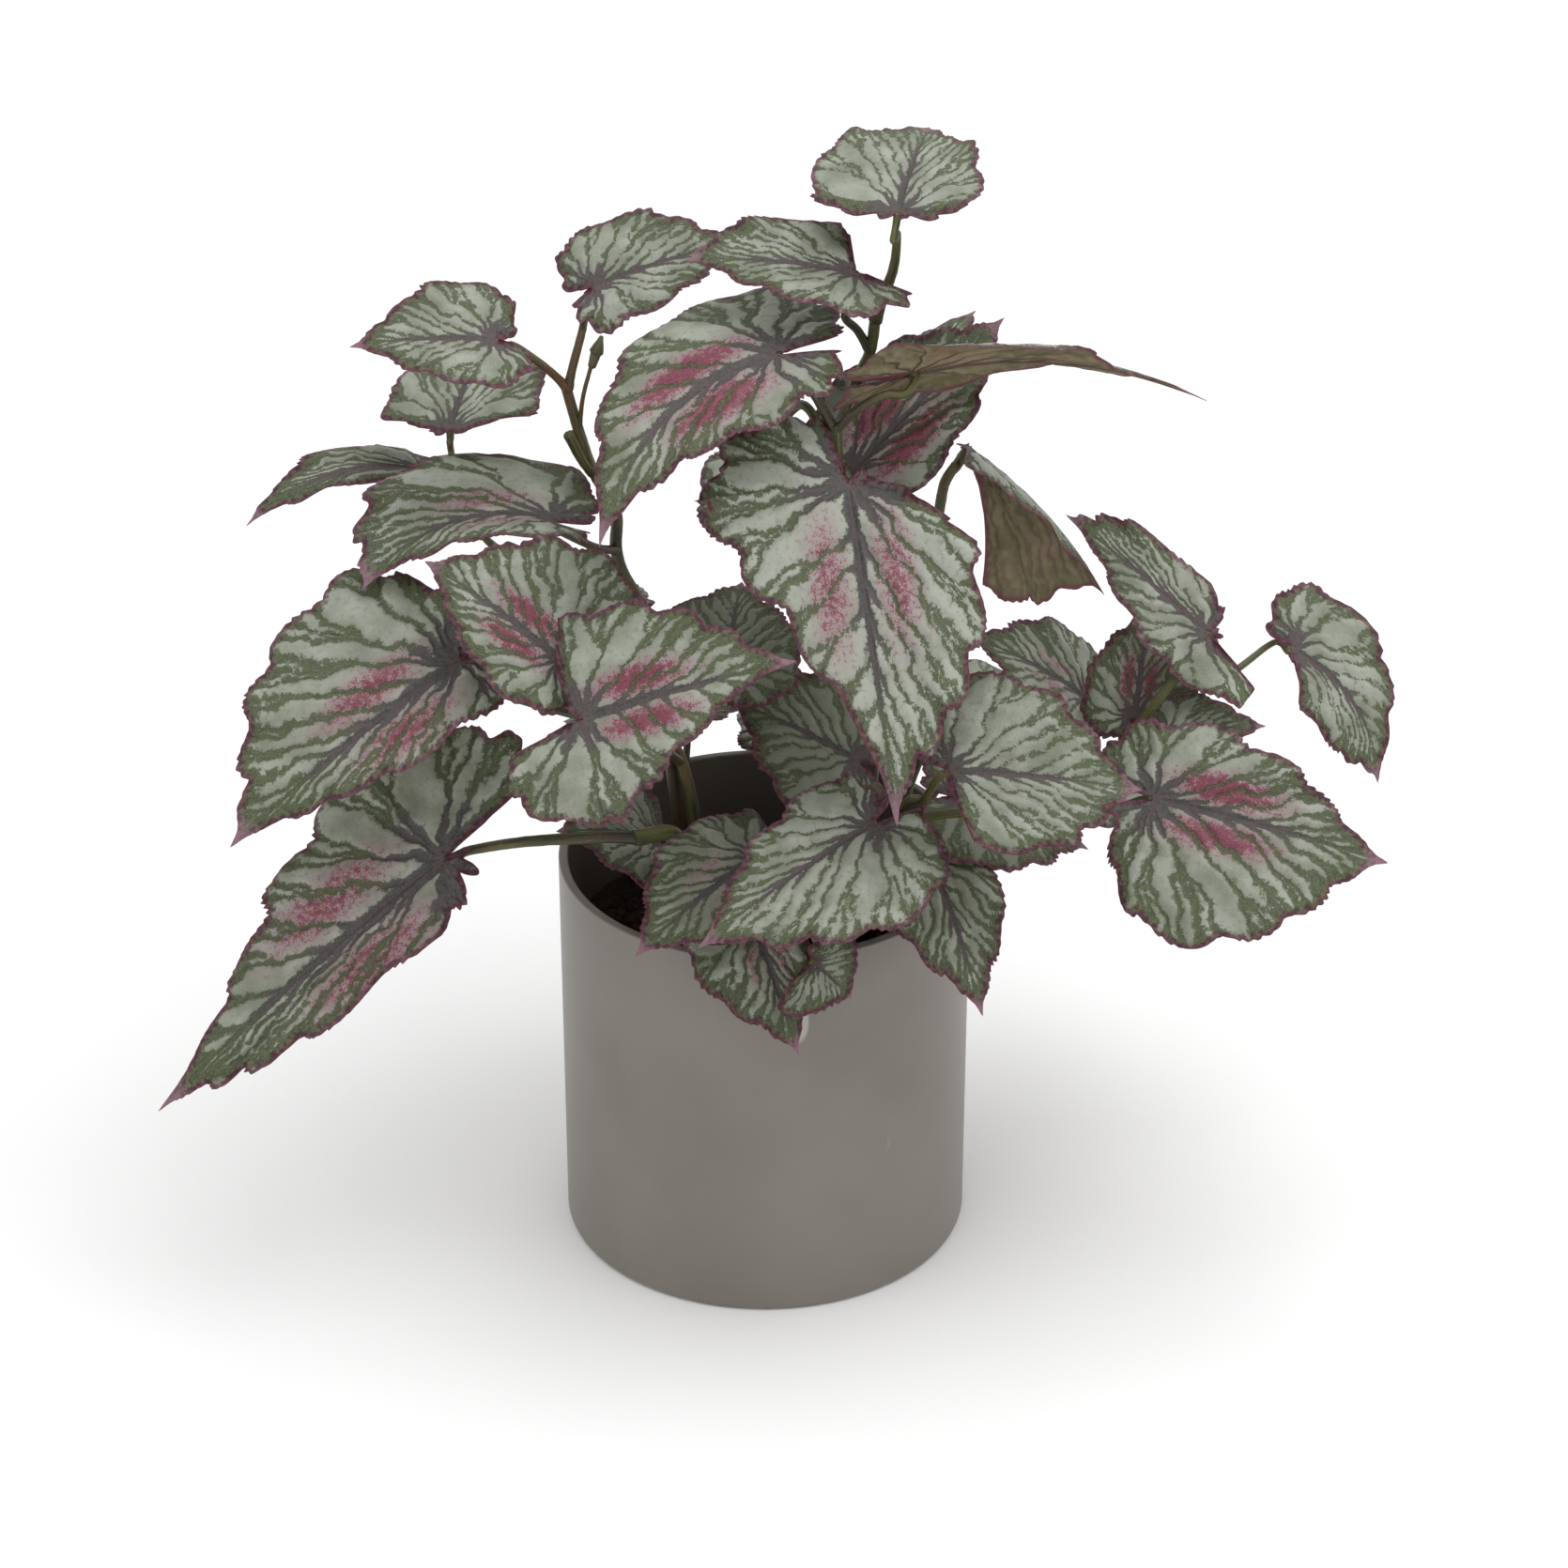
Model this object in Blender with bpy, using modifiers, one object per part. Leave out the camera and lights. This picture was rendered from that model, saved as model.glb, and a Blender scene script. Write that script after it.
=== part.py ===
"""A potted begonia: a plain round pot of soil with five leafy stems and forty-one toothed leaves.

Metres, +Z up. The origin is the middle of the pot's base, X runs to the right of the plant's front,
and the front looks along -Y. Lengths in the tables below are millimetres, and MM turns them to metres.
"""

import math
from dataclasses import dataclass

import bmesh
import bpy
import numpy as np

MM = 0.001

# The pot
POT_TOP_RADIUS = 85.0
POT_BASE_RADIUS = 84.0
POT_HEIGHT = 172.0
POT_WALL = 4.0
POT_FLOOR = 5.0
POT_FOOT_ROUND = 3.0
POT_RIM_ROUND = 0.8
POT_SIDES = 72

# The soil, and the plain holes in which the stems stand
SOIL_TOP = 130.0
SOIL_MOUND = 1.6
SOIL_SIDES = 60
HOLE_FLOOR = 123.0
HOLE_SIDES = 20
CUTTER_TOP = 140.0
CLEARANCE = 0.3
STEM_HOLES = {
    "left": ((-30, 16), 4.6),
    "centre": ((14, 23), 5.6),
    "right": ((45.5, 7), 6.0),
    "front_right": ((34, -34.5), 6.8),
    "front_left": ((-23, -27.3), 8.4),
}

# A leaf blade: its thickness, and its edge's waves and teeth as shares of its length. A gap between
# two teeth is cut in by this share of a tooth, and the waves start at this angle.
BLADE = 0.8
WAVE = 0.019
TOOTH = 0.018
TOOTH_GAP = 0.6
WAVE_START = 0.6
BLADE_ROWS = (0.0, 0.5, 1.0)
OUTLINE_STEPS = 24
# One half's edge from the tip round to the notch at the base, as (along the midrib, across it)
ONE_HALF = ((1.0, 0.0), (0.90, 0.10), (0.74, 0.40), (0.50, 0.80), (0.20, 1.0),
            (-0.06, 0.93), (-0.24, 0.62), (-0.25, 0.14), (-0.05, 0.01))

# A petiole: the steps between two of its points, its bevel, and where it turns up to its blade
PETIOLE_STEPS = 2
PETIOLE_BEVEL = 1
LAST_RISE = 2.5
LAST_LEAN = 0.4
WELD = 0.000001


@dataclass
class Leaf:
    """One blade. Pairs are its left and right half, seen from above with the tip ahead."""

    base: tuple
    tip: tuple
    face: tuple
    half: tuple
    lobes: tuple = (1.0, 1.0)
    slim: tuple = (1.0, 1.0)
    lean: tuple = (0.0, 0.0)
    bend: float = 25.0
    sweep: float = 0.0
    twist: float = 0.0
    fold: tuple = (12.0, 12.0)
    cup: tuple = (-20.0, -20.0)
    teeth: int = 12
    seat: tuple = (1.0, 0.0)
    reach: tuple = (9.0, 7.0)


@dataclass
class Petiole:
    """A round stalk through these points, thinning from its foot, which may end at a leaf."""

    radii: tuple
    points: list
    leaf: str = ""


# base is where the petiole meets the blade, face is the way that the upper side looks, and half is
# the width each side of the midrib. lobes stretches the lobe behind the base, and slim, below 1,
# fills the half out towards the tip. lean shifts its widest part to the tip. bend, sweep, twist,
# fold and cup are degrees: how far the midrib droops, turns to the left and twists, and how far each
# half stands up at the midrib and curls up across its width. seat is the petiole's end below and
# beside the base, and reach is its last bend below and behind it.
LEAVES = {
    "leaf_left_1": Leaf((-67, 35, 412), (-6, 45, 427), (0, -0.5, 0.8), (27, 21), lobes=(0.7, 0.6)),
    "leaf_left_2": Leaf((-105, -10, 410), (-161, -20, 412), (0, -0.5, 0.85), (22, 27),
                        lobes=(0.9, 0.6)),
    "leaf_left_3": Leaf((-126, 28, 352), (-117, 93, 351), (0, -0.1, 1), (28, 38), lobes=(0.2, 0.2),
                        fold=(20, 30), reach=(9, 1)),
    "leaf_left_4": Leaf((-138, 40, 327), (-208, 10, 318), (0, -0.25, 1), (10, 15), lobes=(0.5, 0.5),
                        slim=(0.8, 0.7), bend=75),
    "leaf_left_5": Leaf((-84, 0, 325), (-158, -40, 316), (0, -0.5, 0.86), (27, 36), lobes=(0.6, 0.6),
                        slim=(1, 0.6), sweep=65, fold=(35, 5), cup=(0, -20), teeth=14),
    "leaf_left_6": Leaf((-75, 50, 258), (-133, 110, 239), (-0.5, 0.5, 0.7), (34, 30)),
    "leaf_left_7": Leaf((-37, 60, 203), (-88, 130, 145), (-0.3, 0.6, 0.7), (30, 30)),
    "leaf_centre_1": Leaf((52, 0, 460), (66, 80, 461), (0.05, -0.1, 1), (36, 30), lobes=(0.3, 0.3),
                          slim=(0.7, 0.95), bend=20, fold=(14, 26), teeth=14),
    "leaf_centre_2": Leaf((36, 0, 434), (-31, 10, 435), (0, -0.45, 0.9), (19, 22),
                          lobes=(1.2, 0.05), slim=(1, 0.7), lean=(0, 0.12)),
    "leaf_centre_3": Leaf((5, -19, 408), (-63, -85, 358), (-0.2, -0.75, 0.63), (27, 50),
                          lobes=(0.8, 0.9), slim=(1, 1.6), sweep=60, fold=(12, -10), cup=(-20, -25),
                          teeth=14, seat=(1.2, 0)),
    "leaf_centre_4": Leaf((59, -8, 395), (175, 0, 379), (0, 0.743, 0.669), (26, 26), lobes=(0.9, 0.9),
                          bend=40, twist=30, teeth=14),
    "leaf_centre_5": Leaf((35, 5, 345), (96, 40, 396), (0.1, -0.8, 0.6), (28, 23), lobes=(0.2, 0.1),
                          slim=(0.8, 0.8), teeth=14, seat=(1.3, 0)),
    "leaf_centre_6": Leaf((33, -35, 360), (52, -115, 251), (0.02, -0.83, 0.55), (45, 58),
                          lobes=(0.2, 0.8), slim=(1.25, 2.3), lean=(0.22, 0), teeth=16),
    "leaf_centre_7": Leaf((-17, 60, 343), (-31, 110, 349), (-0.2, 0.7, 0.7), (32, 30),
                          reach=(14, 6)),
    "leaf_centre_8": Leaf((56, 60, 348), (87, 110, 366), (0.2, 0.65, 0.7), (28, 28)),
    "leaf_centre_9": Leaf((6, 100, 278), (8, 170, 289), (-0.05, 0.6, 0.8), (34, 34)),
    "leaf_centre_10": Leaf((40, 52, 260), (50, 116, 260), (0.3, 0.6, 0.75), (22, 26)),
    "leaf_centre_11": Leaf((-16, -20, 266), (-9, 30, 282), (0, -0.3, 0.95), (36, 30)),
    "leaf_centre_12": Leaf((26, 60, 190), (18, 150, 153), (0, 0.6, 0.8), (36, 34)),
    "leaf_right_1": Leaf((82, 11, 353), (137, 0, 292), (0.75, 0, 0.65), (38, 24), lobes=(0, 0.2),
                         slim=(1.5, 1), lean=(0.6, 0), fold=(-88, 12), cup=(0, -10),
                         seat=(0.4, -4.5), reach=(9, 0)),
    "leaf_right_2": Leaf((177, -20, 285), (121, 10, 323), (0, -0.7, 0.7), (21, 16),
                         lobes=(1.6, 0.3), slim=(1.5, 0.7), lean=(0, 0.15)),
    "leaf_right_3": Leaf((213, 0, 267), (249, -20, 216), (0.3, -0.7, 0.7), (30, 20),
                         lobes=(0.6, 0.1), slim=(1.4, 0.9), lean=(0, 0.25), sweep=-60),
    "leaf_right_4": Leaf((150, -14, 244), (156, 10, 284), (0, -0.5, 0.85), (22, 24),
                         lobes=(0.8, 0.9)),
    "leaf_right_5": Leaf((160, -34, 245), (202, -26, 246), (0, -0.5, 0.85), (18, 14), lobes=(0.2, 1)),
    "leaf_right_6": Leaf((131, 0, 243), (82, -5, 276), (0, -0.3, 0.9), (30, 30), lobes=(0.5, 0.9)),
    "leaf_right_7": Leaf((88, 50, 209), (140, 130, 173), (0.4, 0.5, 0.75), (36, 32)),
    "leaf_right_8": Leaf((131, 30, 175), (206, 80, 151), (0.3, 0.5, 0.8), (36, 32), reach=(10, 6)),
    "leaf_front_right_1": Leaf((73, -90, 262), (148, -100, 259), (0, -0.7, 0.7), (40, 31),
                               lobes=(0.7, 0.1), lean=(0, 0.2), teeth=14, seat=(1.3, 0)),
    "leaf_front_right_2": Leaf((155, -60, 232), (248, -80, 214), (0, -0.75, 0.65), (33, 53),
                               lobes=(0.9, 0.6), slim=(1, 1.05), lean=(0, 0.12), teeth=14),
    "leaf_front_right_3": Leaf((43, -80, 232), (-26, -120, 199), (0, -0.6, 0.8), (41, 25),
                               lobes=(0.8, 0.4), teeth=14),
    "leaf_front_right_4": Leaf((66, -60, 205), (87, -110, 161), (0.2, -0.7, 0.7), (24, 26),
                               lobes=(0.45, 0.5)),
    "leaf_front_right_5": Leaf((38, -20, 226), (-14, -10, 249), (0, -0.5, 0.85), (36, 35),
                               lobes=(1, 0.6)),
    "leaf_front_right_6": Leaf((78, -34, 217), (132, -27, 189), (0, -0.3, 0.95), (26, 34),
                               lobes=(0.9, 0.9)),
    "leaf_front_left_1": Leaf((-120, -50, 289), (-210, -95, 230), (-0.3, -0.75, 0.6), (24, 56),
                              lobes=(0.6, 0.5), lean=(0, 0.08), teeth=16),
    "leaf_front_left_2": Leaf((-129, -55, 201), (-245, -95, 106), (-0.3, -0.75, 0.55), (24, 50),
                              lobes=(0.3, 1.2), slim=(0.9, 1.8), lean=(0.12, 0), teeth=16),
    "leaf_front_left_3": Leaf((-79, -70, 300), (-133, -45, 331), (0, -0.6, 0.8), (25, 44),
                              lobes=(0.8, 1.6), teeth=14),
    "leaf_front_left_4": Leaf((-70, -95, 288), (13, -90, 311), (0, -0.7, 0.7), (40, 44),
                              lobes=(0.2, 1.5), slim=(1, 2.2), teeth=16),
    "leaf_front_left_5": Leaf((-43, -22, 190), (-84, -38, 204), (0, -0.3, 0.95), (34, 34),
                              lobes=(0.3, 0.4)),
    "leaf_front_left_6": Leaf((-3, -55, 201), (-51, -110, 189), (0, -0.4, 0.9), (36, 30)),
    "leaf_front_left_7": Leaf((-5, -72, 186), (14, -109, 142), (0, -0.7, 0.7), (18, 30),
                              lobes=(0.7, 1)),
    "leaf_front_left_8": Leaf((20, -94, 176), (35, -98, 162), (0.1, -0.7, 0.7), (18, 24),
                              lobes=(1, 0.4), reach=(5, -4)),
}

# The first stalk of each group is the one that the others grow from or stand against.
STEMS = {
    "left": [
        Petiole((3.4, 2.1), [(-30, 16, 124), (-44, 20, 252), (-59, 25, 293), (-60, 27, 315),
                             (-69, 27, 334), (-74, 22, 354), (-79, 18, 377)]),
        Petiole((1.8, 1.4), [(-78, 18, 375), (-76, 19, 384), (-72, 25, 398)], "leaf_left_1"),
        Petiole((1.8, 1.4), [(-78, 18, 375), (-83, 14, 383), (-91, 3, 396), (-99, -6, 406)],
                "leaf_left_2"),
        Petiole((1.8, 1.3), [(-60, 25, 293), (-83, 48, 281), (-110, 58, 282), (-124, 54, 308)],
                "leaf_left_3"),
        Petiole((1.8, 1.3), [(-60, 25, 288), (-83, 48, 277), (-106, 64, 276), (-129, 62, 300)],
                "leaf_left_4"),
        Petiole((1.8, 1.5), [(-60, 25, 299), (-68, 14, 306)], "leaf_left_5"),
        Petiole((1.8, 1.4), [(-46, 18, 259), (-57, 34, 257)], "leaf_left_6"),
        Petiole((1.8, 1.4), [(-33, 17, 150), (-34, 38, 178)], "leaf_left_7"),
        Petiole((1.0, 0.8), [(-74, 22, 353), (-72, 16, 372), (-68, 13, 389)]),
        Petiole((1.2, 2.4), [(-68, 12, 388), (-66, 12, 395)]),
        Petiole((2.4, 0.8), [(-66, 12, 394.5), (-64, 12, 401)]),
        Petiole((1.8, 2.4), [(-69, 27, 333), (-73, 23, 341), (-78, 20, 354)]),
    ],
    "centre": [
        Petiole((3.6, 2.6), [(14, 22, 124), (27, 20, 235), (29, 6, 286), (30, -8, 327),
                             (29, -14, 355), (28, -15, 376)]),
        Petiole((2.2, 2.2), [(28, -15, 373), (33, 2, 377), (37, 7, 385), (42, 9, 396), (44, 10, 410)]),
        Petiole((2.4, 1.3), [(44, 10, 409), (47, 11, 419), (51, 8, 433), (52, 1, 450)], "leaf_centre_1"),
        Petiole((1.8, 1.4), [(42, 9, 396), (37, 9, 405), (32, 7, 413)], "leaf_centre_2"),
        Petiole((2.0, 1.5), [(28, -15, 373), (20, -14, 388), (13, -10, 395)], "leaf_centre_3"),
        Petiole((1.8, 1.5), [(28, -15, 373), (36, -18, 383), (47, -18, 390)], "leaf_centre_4"),
        Petiole((1.9, 1.6), [(29, -2, 307), (32, 2, 322)], "leaf_centre_5"),
        Petiole((2.2, 1.8), [(29, 8, 280), (31, -10, 316)], "leaf_centre_6"),
        Petiole((2.0, 1.6), [(29, -12, 346), (25, -8, 363), (15, 4, 375), (1, 34, 345)],
                "leaf_centre_7"),
        Petiole((1.8, 1.4), [(29, 8, 280), (35, 30, 295), (47, 50, 323)], "leaf_centre_8"),
        Petiole((1.8, 1.4), [(27, 20, 235), (22, 50, 245), (12, 84, 262)], "leaf_centre_9"),
        Petiole((1.8, 1.4), [(28, 17, 246), (32, 35, 252)], "leaf_centre_10"),
        Petiole((1.8, 1.4), [(28, 15, 255), (10, 4, 265)], "leaf_centre_11"),
        Petiole((2.0, 1.5), [(15, 24, 134), (21, 44, 179)], "leaf_centre_12"),
    ],
    "right": [
        Petiole((3.0, 2.0), [(44, 8, 124), (45, 10, 214), (59, 10, 258), (67, 8, 302), (70, 4, 327),
                             (72, 2, 341), (76, 3, 348)], "leaf_right_1"),
        Petiole((2.4, 1.8), [(46, 6, 125), (72, 4, 202), (106, 4, 208), (134, -6, 215),
                             (148, -28, 243), (163, -27, 266)], "leaf_right_2"),
        Petiole((1.8, 1.2), [(160, -27, 262), (175, -18, 260), (190, -4, 259)], "leaf_right_3"),
        Petiole((1.6, 1.4), [(134, -6, 215), (144, -8, 224)], "leaf_right_4"),
        Petiole((1.6, 1.4), [(131, -5, 214), (144, -26, 227)], "leaf_right_5"),
        Petiole((1.6, 1.4), [(95, 5, 206), (114, 6, 218)], "leaf_right_6"),
        Petiole((1.8, 1.4), [(45, 7, 140), (66, 30, 202)], "leaf_right_7"),
        Petiole((1.8, 1.4), [(72, 4, 202), (91, 10, 184), (110, 20, 166)], "leaf_right_8"),
    ],
    "front_right": [
        Petiole((2.6, 1.6), [(34, -34, 124), (53, -44, 210), (64, -62, 233)], "leaf_front_right_1"),
        Petiole((2.4, 1.6), [(36, -35, 125), (43, -46, 196), (58, -56, 219), (92, -64, 229),
                             (111, -62, 226), (134, -50, 219)], "leaf_front_right_2"),
        Petiole((2.2, 1.6), [(32, -36, 126), (35, -58, 207)], "leaf_front_right_3"),
        Petiole((2.0, 1.5), [(36, -36, 127), (54, -42, 187)], "leaf_front_right_4"),
        Petiole((2.0, 1.5), [(32, -32, 128), (39, -22, 201)], "leaf_front_right_5"),
        Petiole((2.0, 1.5), [(36, -33, 128), (55, -38, 213)], "leaf_front_right_6"),
    ],
    "front_left": [
        Petiole((3.0, 2.2), [(-25, -24, 124), (-28, -20, 193), (-32, -22, 222), (-37, -24, 238)]),
        Petiole((1.9, 1.6), [(-37, -24, 237), (-66, -26, 248), (-106, -32, 265)], "leaf_front_left_1"),
        Petiole((2.8, 3.4), [(-26, -29, 125), (-28, -36, 178), (-36, -40, 203), (-52, -47, 206)]),
        Petiole((2.6, 1.8), [(-50, -45, 205), (-66, -48, 207), (-96, -50, 206), (-117, -46, 200)],
                "leaf_front_left_2"),
        Petiole((1.8, 1.6), [(-36, -23, 233), (-47, -34, 254), (-57, -46, 271)], "leaf_front_left_3"),
        Petiole((1.8, 1.6), [(-34, -23, 228), (-44, -54, 254), (-58, -74, 268)], "leaf_front_left_4"),
        Petiole((1.8, 1.5), [(-26, -26, 140), (-35, -20, 185)], "leaf_front_left_5"),
        Petiole((2.0, 1.6), [(-23, -28, 126), (-9, -44, 190)], "leaf_front_left_6"),
        Petiole((2.0, 1.6), [(-22, -28, 127), (-9, -52, 179)], "leaf_front_left_7"),
        Petiole((2.0, 1.5), [(-21, -28, 128), (12, -56, 172), (28, -76, 184)], "leaf_front_left_8"),
    ],
}


def unit(vector):
    """The vector at length 1."""
    vector = np.asarray(vector, float)
    return vector / np.linalg.norm(vector)


def smooth_line(points, steps):
    """A smooth curve through the points, with this many steps from each point to the next."""
    points = np.asarray(points, float)
    line = np.vstack([2 * points[0] - points[1], points, 2 * points[-1] - points[-2]])
    t = np.arange(steps)[:, None] / steps
    spans = []
    for a, b, c, d in zip(line[:-3], line[1:-2], line[2:-1], line[3:]):
        spans.append(0.5 * (2 * b + (c - a) * t + (2 * a - 5 * b + 4 * c - d) * t**2
                            + (3 * b - a - 3 * c + d) * t**3))
    return np.vstack(spans + [points[-1:]])


def material(name, colour, roughness):
    """A plain dielectric finish."""
    made = bpy.data.materials.new(name)
    made.use_nodes = True
    shader = made.node_tree.nodes["Principled BSDF"]
    shader.inputs["Base Color"].default_value = (*colour, 1.0)
    shader.inputs["Roughness"].default_value = roughness
    shader.inputs["Metallic"].default_value = 0.0
    made.diffuse_color = (*colour, 1.0)
    return made


def add_mesh(name, mesh, collection, finish=None):
    """Puts a mesh in a collection as an object of this name."""
    made = bpy.data.objects.new(name, mesh)
    collection.objects.link(made)
    if finish:
        mesh.materials.append(finish)
    return made


def turned_mesh(name, profile, sides):
    """A profile of (radius, height) pairs at +X, turned about Z and closed at the axis."""
    bm = bmesh.new()
    points = [bm.verts.new((radius * MM, 0, height * MM)) for radius, height in profile]
    for first, second in zip(points[:-1], points[1:]):
        bm.edges.new((first, second))
    mesh = bpy.data.meshes.new(name)
    bm.to_mesh(mesh)
    bm.free()
    turned = bpy.data.objects.new(name, mesh)
    bpy.context.scene.collection.objects.link(turned)
    screw = turned.modifiers.new("Turn", "SCREW")
    screw.steps = sides
    screw.render_steps = sides
    screw.use_merge_vertices = True
    screw.merge_threshold = 0.00001
    return applied(turned, name)


def applied(shape, name):
    """The mesh of an object as its modifiers leave it. The object is removed."""
    bpy.context.view_layer.update()
    graph = bpy.context.evaluated_depsgraph_get()
    mesh = bpy.data.meshes.new_from_object(shape.evaluated_get(graph))
    mesh.name = name
    bpy.data.objects.remove(shape)
    return mesh


def arc(centre, radius, start, end, steps):
    """Points of an arc, as (radius, height) pairs, between two angles in degrees."""
    angles = np.radians(np.linspace(start, end, steps + 1))
    return [(centre[0] + radius * math.cos(a), centre[1] + radius * math.sin(a)) for a in angles]


def pot_radius(height):
    """The outer radius of the pot, which widens evenly from its base to its rim."""
    return POT_BASE_RADIUS + (POT_TOP_RADIUS - POT_BASE_RADIUS) * height / POT_HEIGHT


def make_pot(collection):
    """A straight pot with a sharp thin rim and a slightly rounded foot."""
    inside = POT_TOP_RADIUS - POT_WALL
    profile = [(0, POT_FLOOR), (pot_radius(POT_FLOOR) - POT_WALL, POT_FLOOR)]
    profile += arc((inside + POT_RIM_ROUND, POT_HEIGHT - POT_RIM_ROUND), POT_RIM_ROUND, 180, 90, 2)
    profile += arc((POT_TOP_RADIUS - POT_RIM_ROUND, POT_HEIGHT - POT_RIM_ROUND), POT_RIM_ROUND, 90, 0, 2)
    profile += arc((POT_BASE_RADIUS - POT_FOOT_ROUND, POT_FOOT_ROUND), POT_FOOT_ROUND, 0, -90, 4)
    profile.append((0, 0))
    mesh = turned_mesh("pot", profile, POT_SIDES)
    mesh.shade_smooth()
    mesh.set_sharp_from_angle(angle=math.radians(35))
    add_mesh("pot", mesh, collection, material("Pot glaze", (0.27, 0.24, 0.21), 0.35))


def make_hole_cutters(collection):
    """One upright cylinder for each stem, from just below its foot to above the soil."""
    cutters = []
    for name, ((x, y), radius) in STEM_HOLES.items():
        depth = CUTTER_TOP - HOLE_FLOOR
        middle = (HOLE_FLOOR + CUTTER_TOP) / 2
        bpy.ops.mesh.primitive_cylinder_add(vertices=HOLE_SIDES, radius=radius * MM, depth=depth * MM,
                                            location=(x * MM, y * MM, middle * MM))
        cutter = bpy.context.object
        cutter.name = "hole_" + name
        for home in list(cutter.users_collection):
            home.objects.unlink(cutter)
        collection.objects.link(cutter)
        cutter.hide_render = True
        cutter.display_type = "WIRE"
        cutters.append(cutter)
    return cutters


def make_soil(collection, cutters):
    """Soil filling the pot to below its rim, a little higher in the middle, with a hole for each stem."""
    low = POT_FLOOR + CLEARANCE
    low_radius = pot_radius(low) - POT_WALL - CLEARANCE
    high_radius = pot_radius(SOIL_TOP) - POT_WALL - CLEARANCE
    profile = [(0, SOIL_TOP + SOIL_MOUND), (high_radius * 0.5, SOIL_TOP + SOIL_MOUND * 0.6),
               (high_radius - 2, SOIL_TOP - 1), (high_radius, SOIL_TOP - 2.5), (low_radius, low), (0, low)]
    soil = add_mesh("soil", turned_mesh("soil", profile, SOIL_SIDES), collection,
                    material("Potting soil", (0.035, 0.024, 0.018), 0.95))
    for cutter in cutters:
        cut = soil.modifiers.new(cutter.name, "BOOLEAN")
        cut.operation = "DIFFERENCE"
        cut.object = cutter


def half_outline(teeth):
    """One half of a blade's edge from the tip to the notch, as (along, across), evenly spaced."""
    curve = smooth_line(ONE_HALF, OUTLINE_STEPS)
    run = np.r_[0, np.cumsum(np.linalg.norm(np.diff(curve, axis=0), axis=1))]
    marks = np.linspace(0, run[-1], teeth + 1)
    return np.stack([np.interp(marks, run, curve[:, k]) for k in (0, 1)], 1)


def leaf_axes(leaf):
    """Rows: along the blade from base to tip, to its left, and out of its upper face. And its length."""
    span = np.subtract(leaf.tip, leaf.base)
    along = unit(span)
    up = unit(leaf.face)
    up = unit(up - (up @ along) * along)
    return np.stack([along, np.cross(up, along), up]), np.linalg.norm(span)


def midrib(leaf):
    """The drooping, turning midrib of a blade of length 1, from behind its base to its tip.

    It gives the marks u along it, where 0 is the base and 1 the tip, and for each the point, the
    sideways direction and the upward one, in the leaf's own axes.
    """
    u = np.linspace(-0.4, 1.0, 141)
    down = -math.radians(leaf.bend) * np.clip(u, 0, 1)
    turn = math.radians(leaf.sweep) * u
    ahead = np.stack([np.cos(down) * np.cos(turn), np.cos(down) * np.sin(turn), np.sin(down)], 1)
    upward = np.stack([-np.sin(down) * np.cos(turn), -np.sin(down) * np.sin(turn), np.cos(down)], 1)
    line = np.vstack([np.zeros(3), np.cumsum((ahead[1:] + ahead[:-1]) / 2 * (u[1] - u[0]), axis=0)])
    line -= line[np.argmin(abs(u))]
    chord = line[-1]
    first = unit(chord)
    third = unit(np.array([0, 0, 1.0]) - first[2] * first)
    frame = np.stack([first, np.cross(third, first), third])
    ahead = ahead @ frame.T
    upward = upward @ frame.T
    return u, line @ frame.T / np.linalg.norm(chord), np.cross(upward, ahead), upward


def blade_edge(leaf, length):
    """The toothed edge from notch to notch round the tip, in lengths of the blade, and its tooth marks."""
    half = half_outline(leaf.teeth)
    edge = np.vstack([half[::-1], half[1:]])
    mark = np.abs(np.arange(-leaf.teeth, leaf.teeth + 1))
    side = np.r_[np.ones(leaf.teeth), 0, -np.ones(leaf.teeth)]
    left = side >= 0
    u = np.where(edge[:, 0] < 0, edge[:, 0] * np.where(left, *leaf.lobes), edge[:, 0])
    u = np.where(u > 0, np.abs(u) ** np.where(left, *leaf.slim), u)
    u = u + np.where(left, *leaf.lean) * edge[:, 1]
    v = edge[:, 1] * side * np.where(left, *leaf.half) / length
    outward = np.stack([u, v], 1)
    outward /= np.linalg.norm(outward, axis=1, keepdims=True)
    height = TOOTH * np.where(mark % 2 == 1, 1.0, -TOOTH_GAP) * np.clip(mark / 2, 0, 1)
    height = np.where(mark < leaf.teeth, height, 0)
    return u + outward[:, 0] * height, v + outward[:, 1] * height, mark, left


def blade_points(leaf):
    """The blade's surface in rows from its base out to its edge, in millimetres.

    A row is the edge shrunk towards the base. Across the midrib each half leaves at its fold angle and
    curls by its cup angle over its width, the edge waves up and down, and the whole twists along.
    """
    axes, length = leaf_axes(leaf)
    edge_u, edge_v, mark, left = blade_edge(leaf, length)
    u, line, sideways, upward = midrib(leaf)
    fold = np.radians(np.where(left, *leaf.fold))
    cup = np.radians(np.where(left, *leaf.cup)) / (np.where(left, *leaf.half) / length)
    cup = np.where(abs(cup) < 0.001, 0.001, cup)
    rows = []
    for row in BLADE_ROWS:
        along = edge_u * row
        width = np.abs(edge_v * row)
        x = np.sign(edge_v) * (np.sin(fold + cup * width) - np.sin(fold)) / cup
        z = (np.cos(fold) - np.cos(fold + cup * width)) / cup
        z = z + WAVE * row**2 * np.sin(np.pi * mark / 2 + WAVE_START) * (mark > 1)
        twist = math.radians(leaf.twist) * along
        x, z = x * np.cos(twist) - z * np.sin(twist), x * np.sin(twist) + z * np.cos(twist)
        at = [np.stack([np.interp(along, u, part[:, k]) for k in range(3)], 1)
              for part in (line, sideways, upward)]
        rows.append(at[0] + x[:, None] * at[1] + z[:, None] * at[2])
    return np.array(leaf.base) + np.array(rows) @ axes * length


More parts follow.
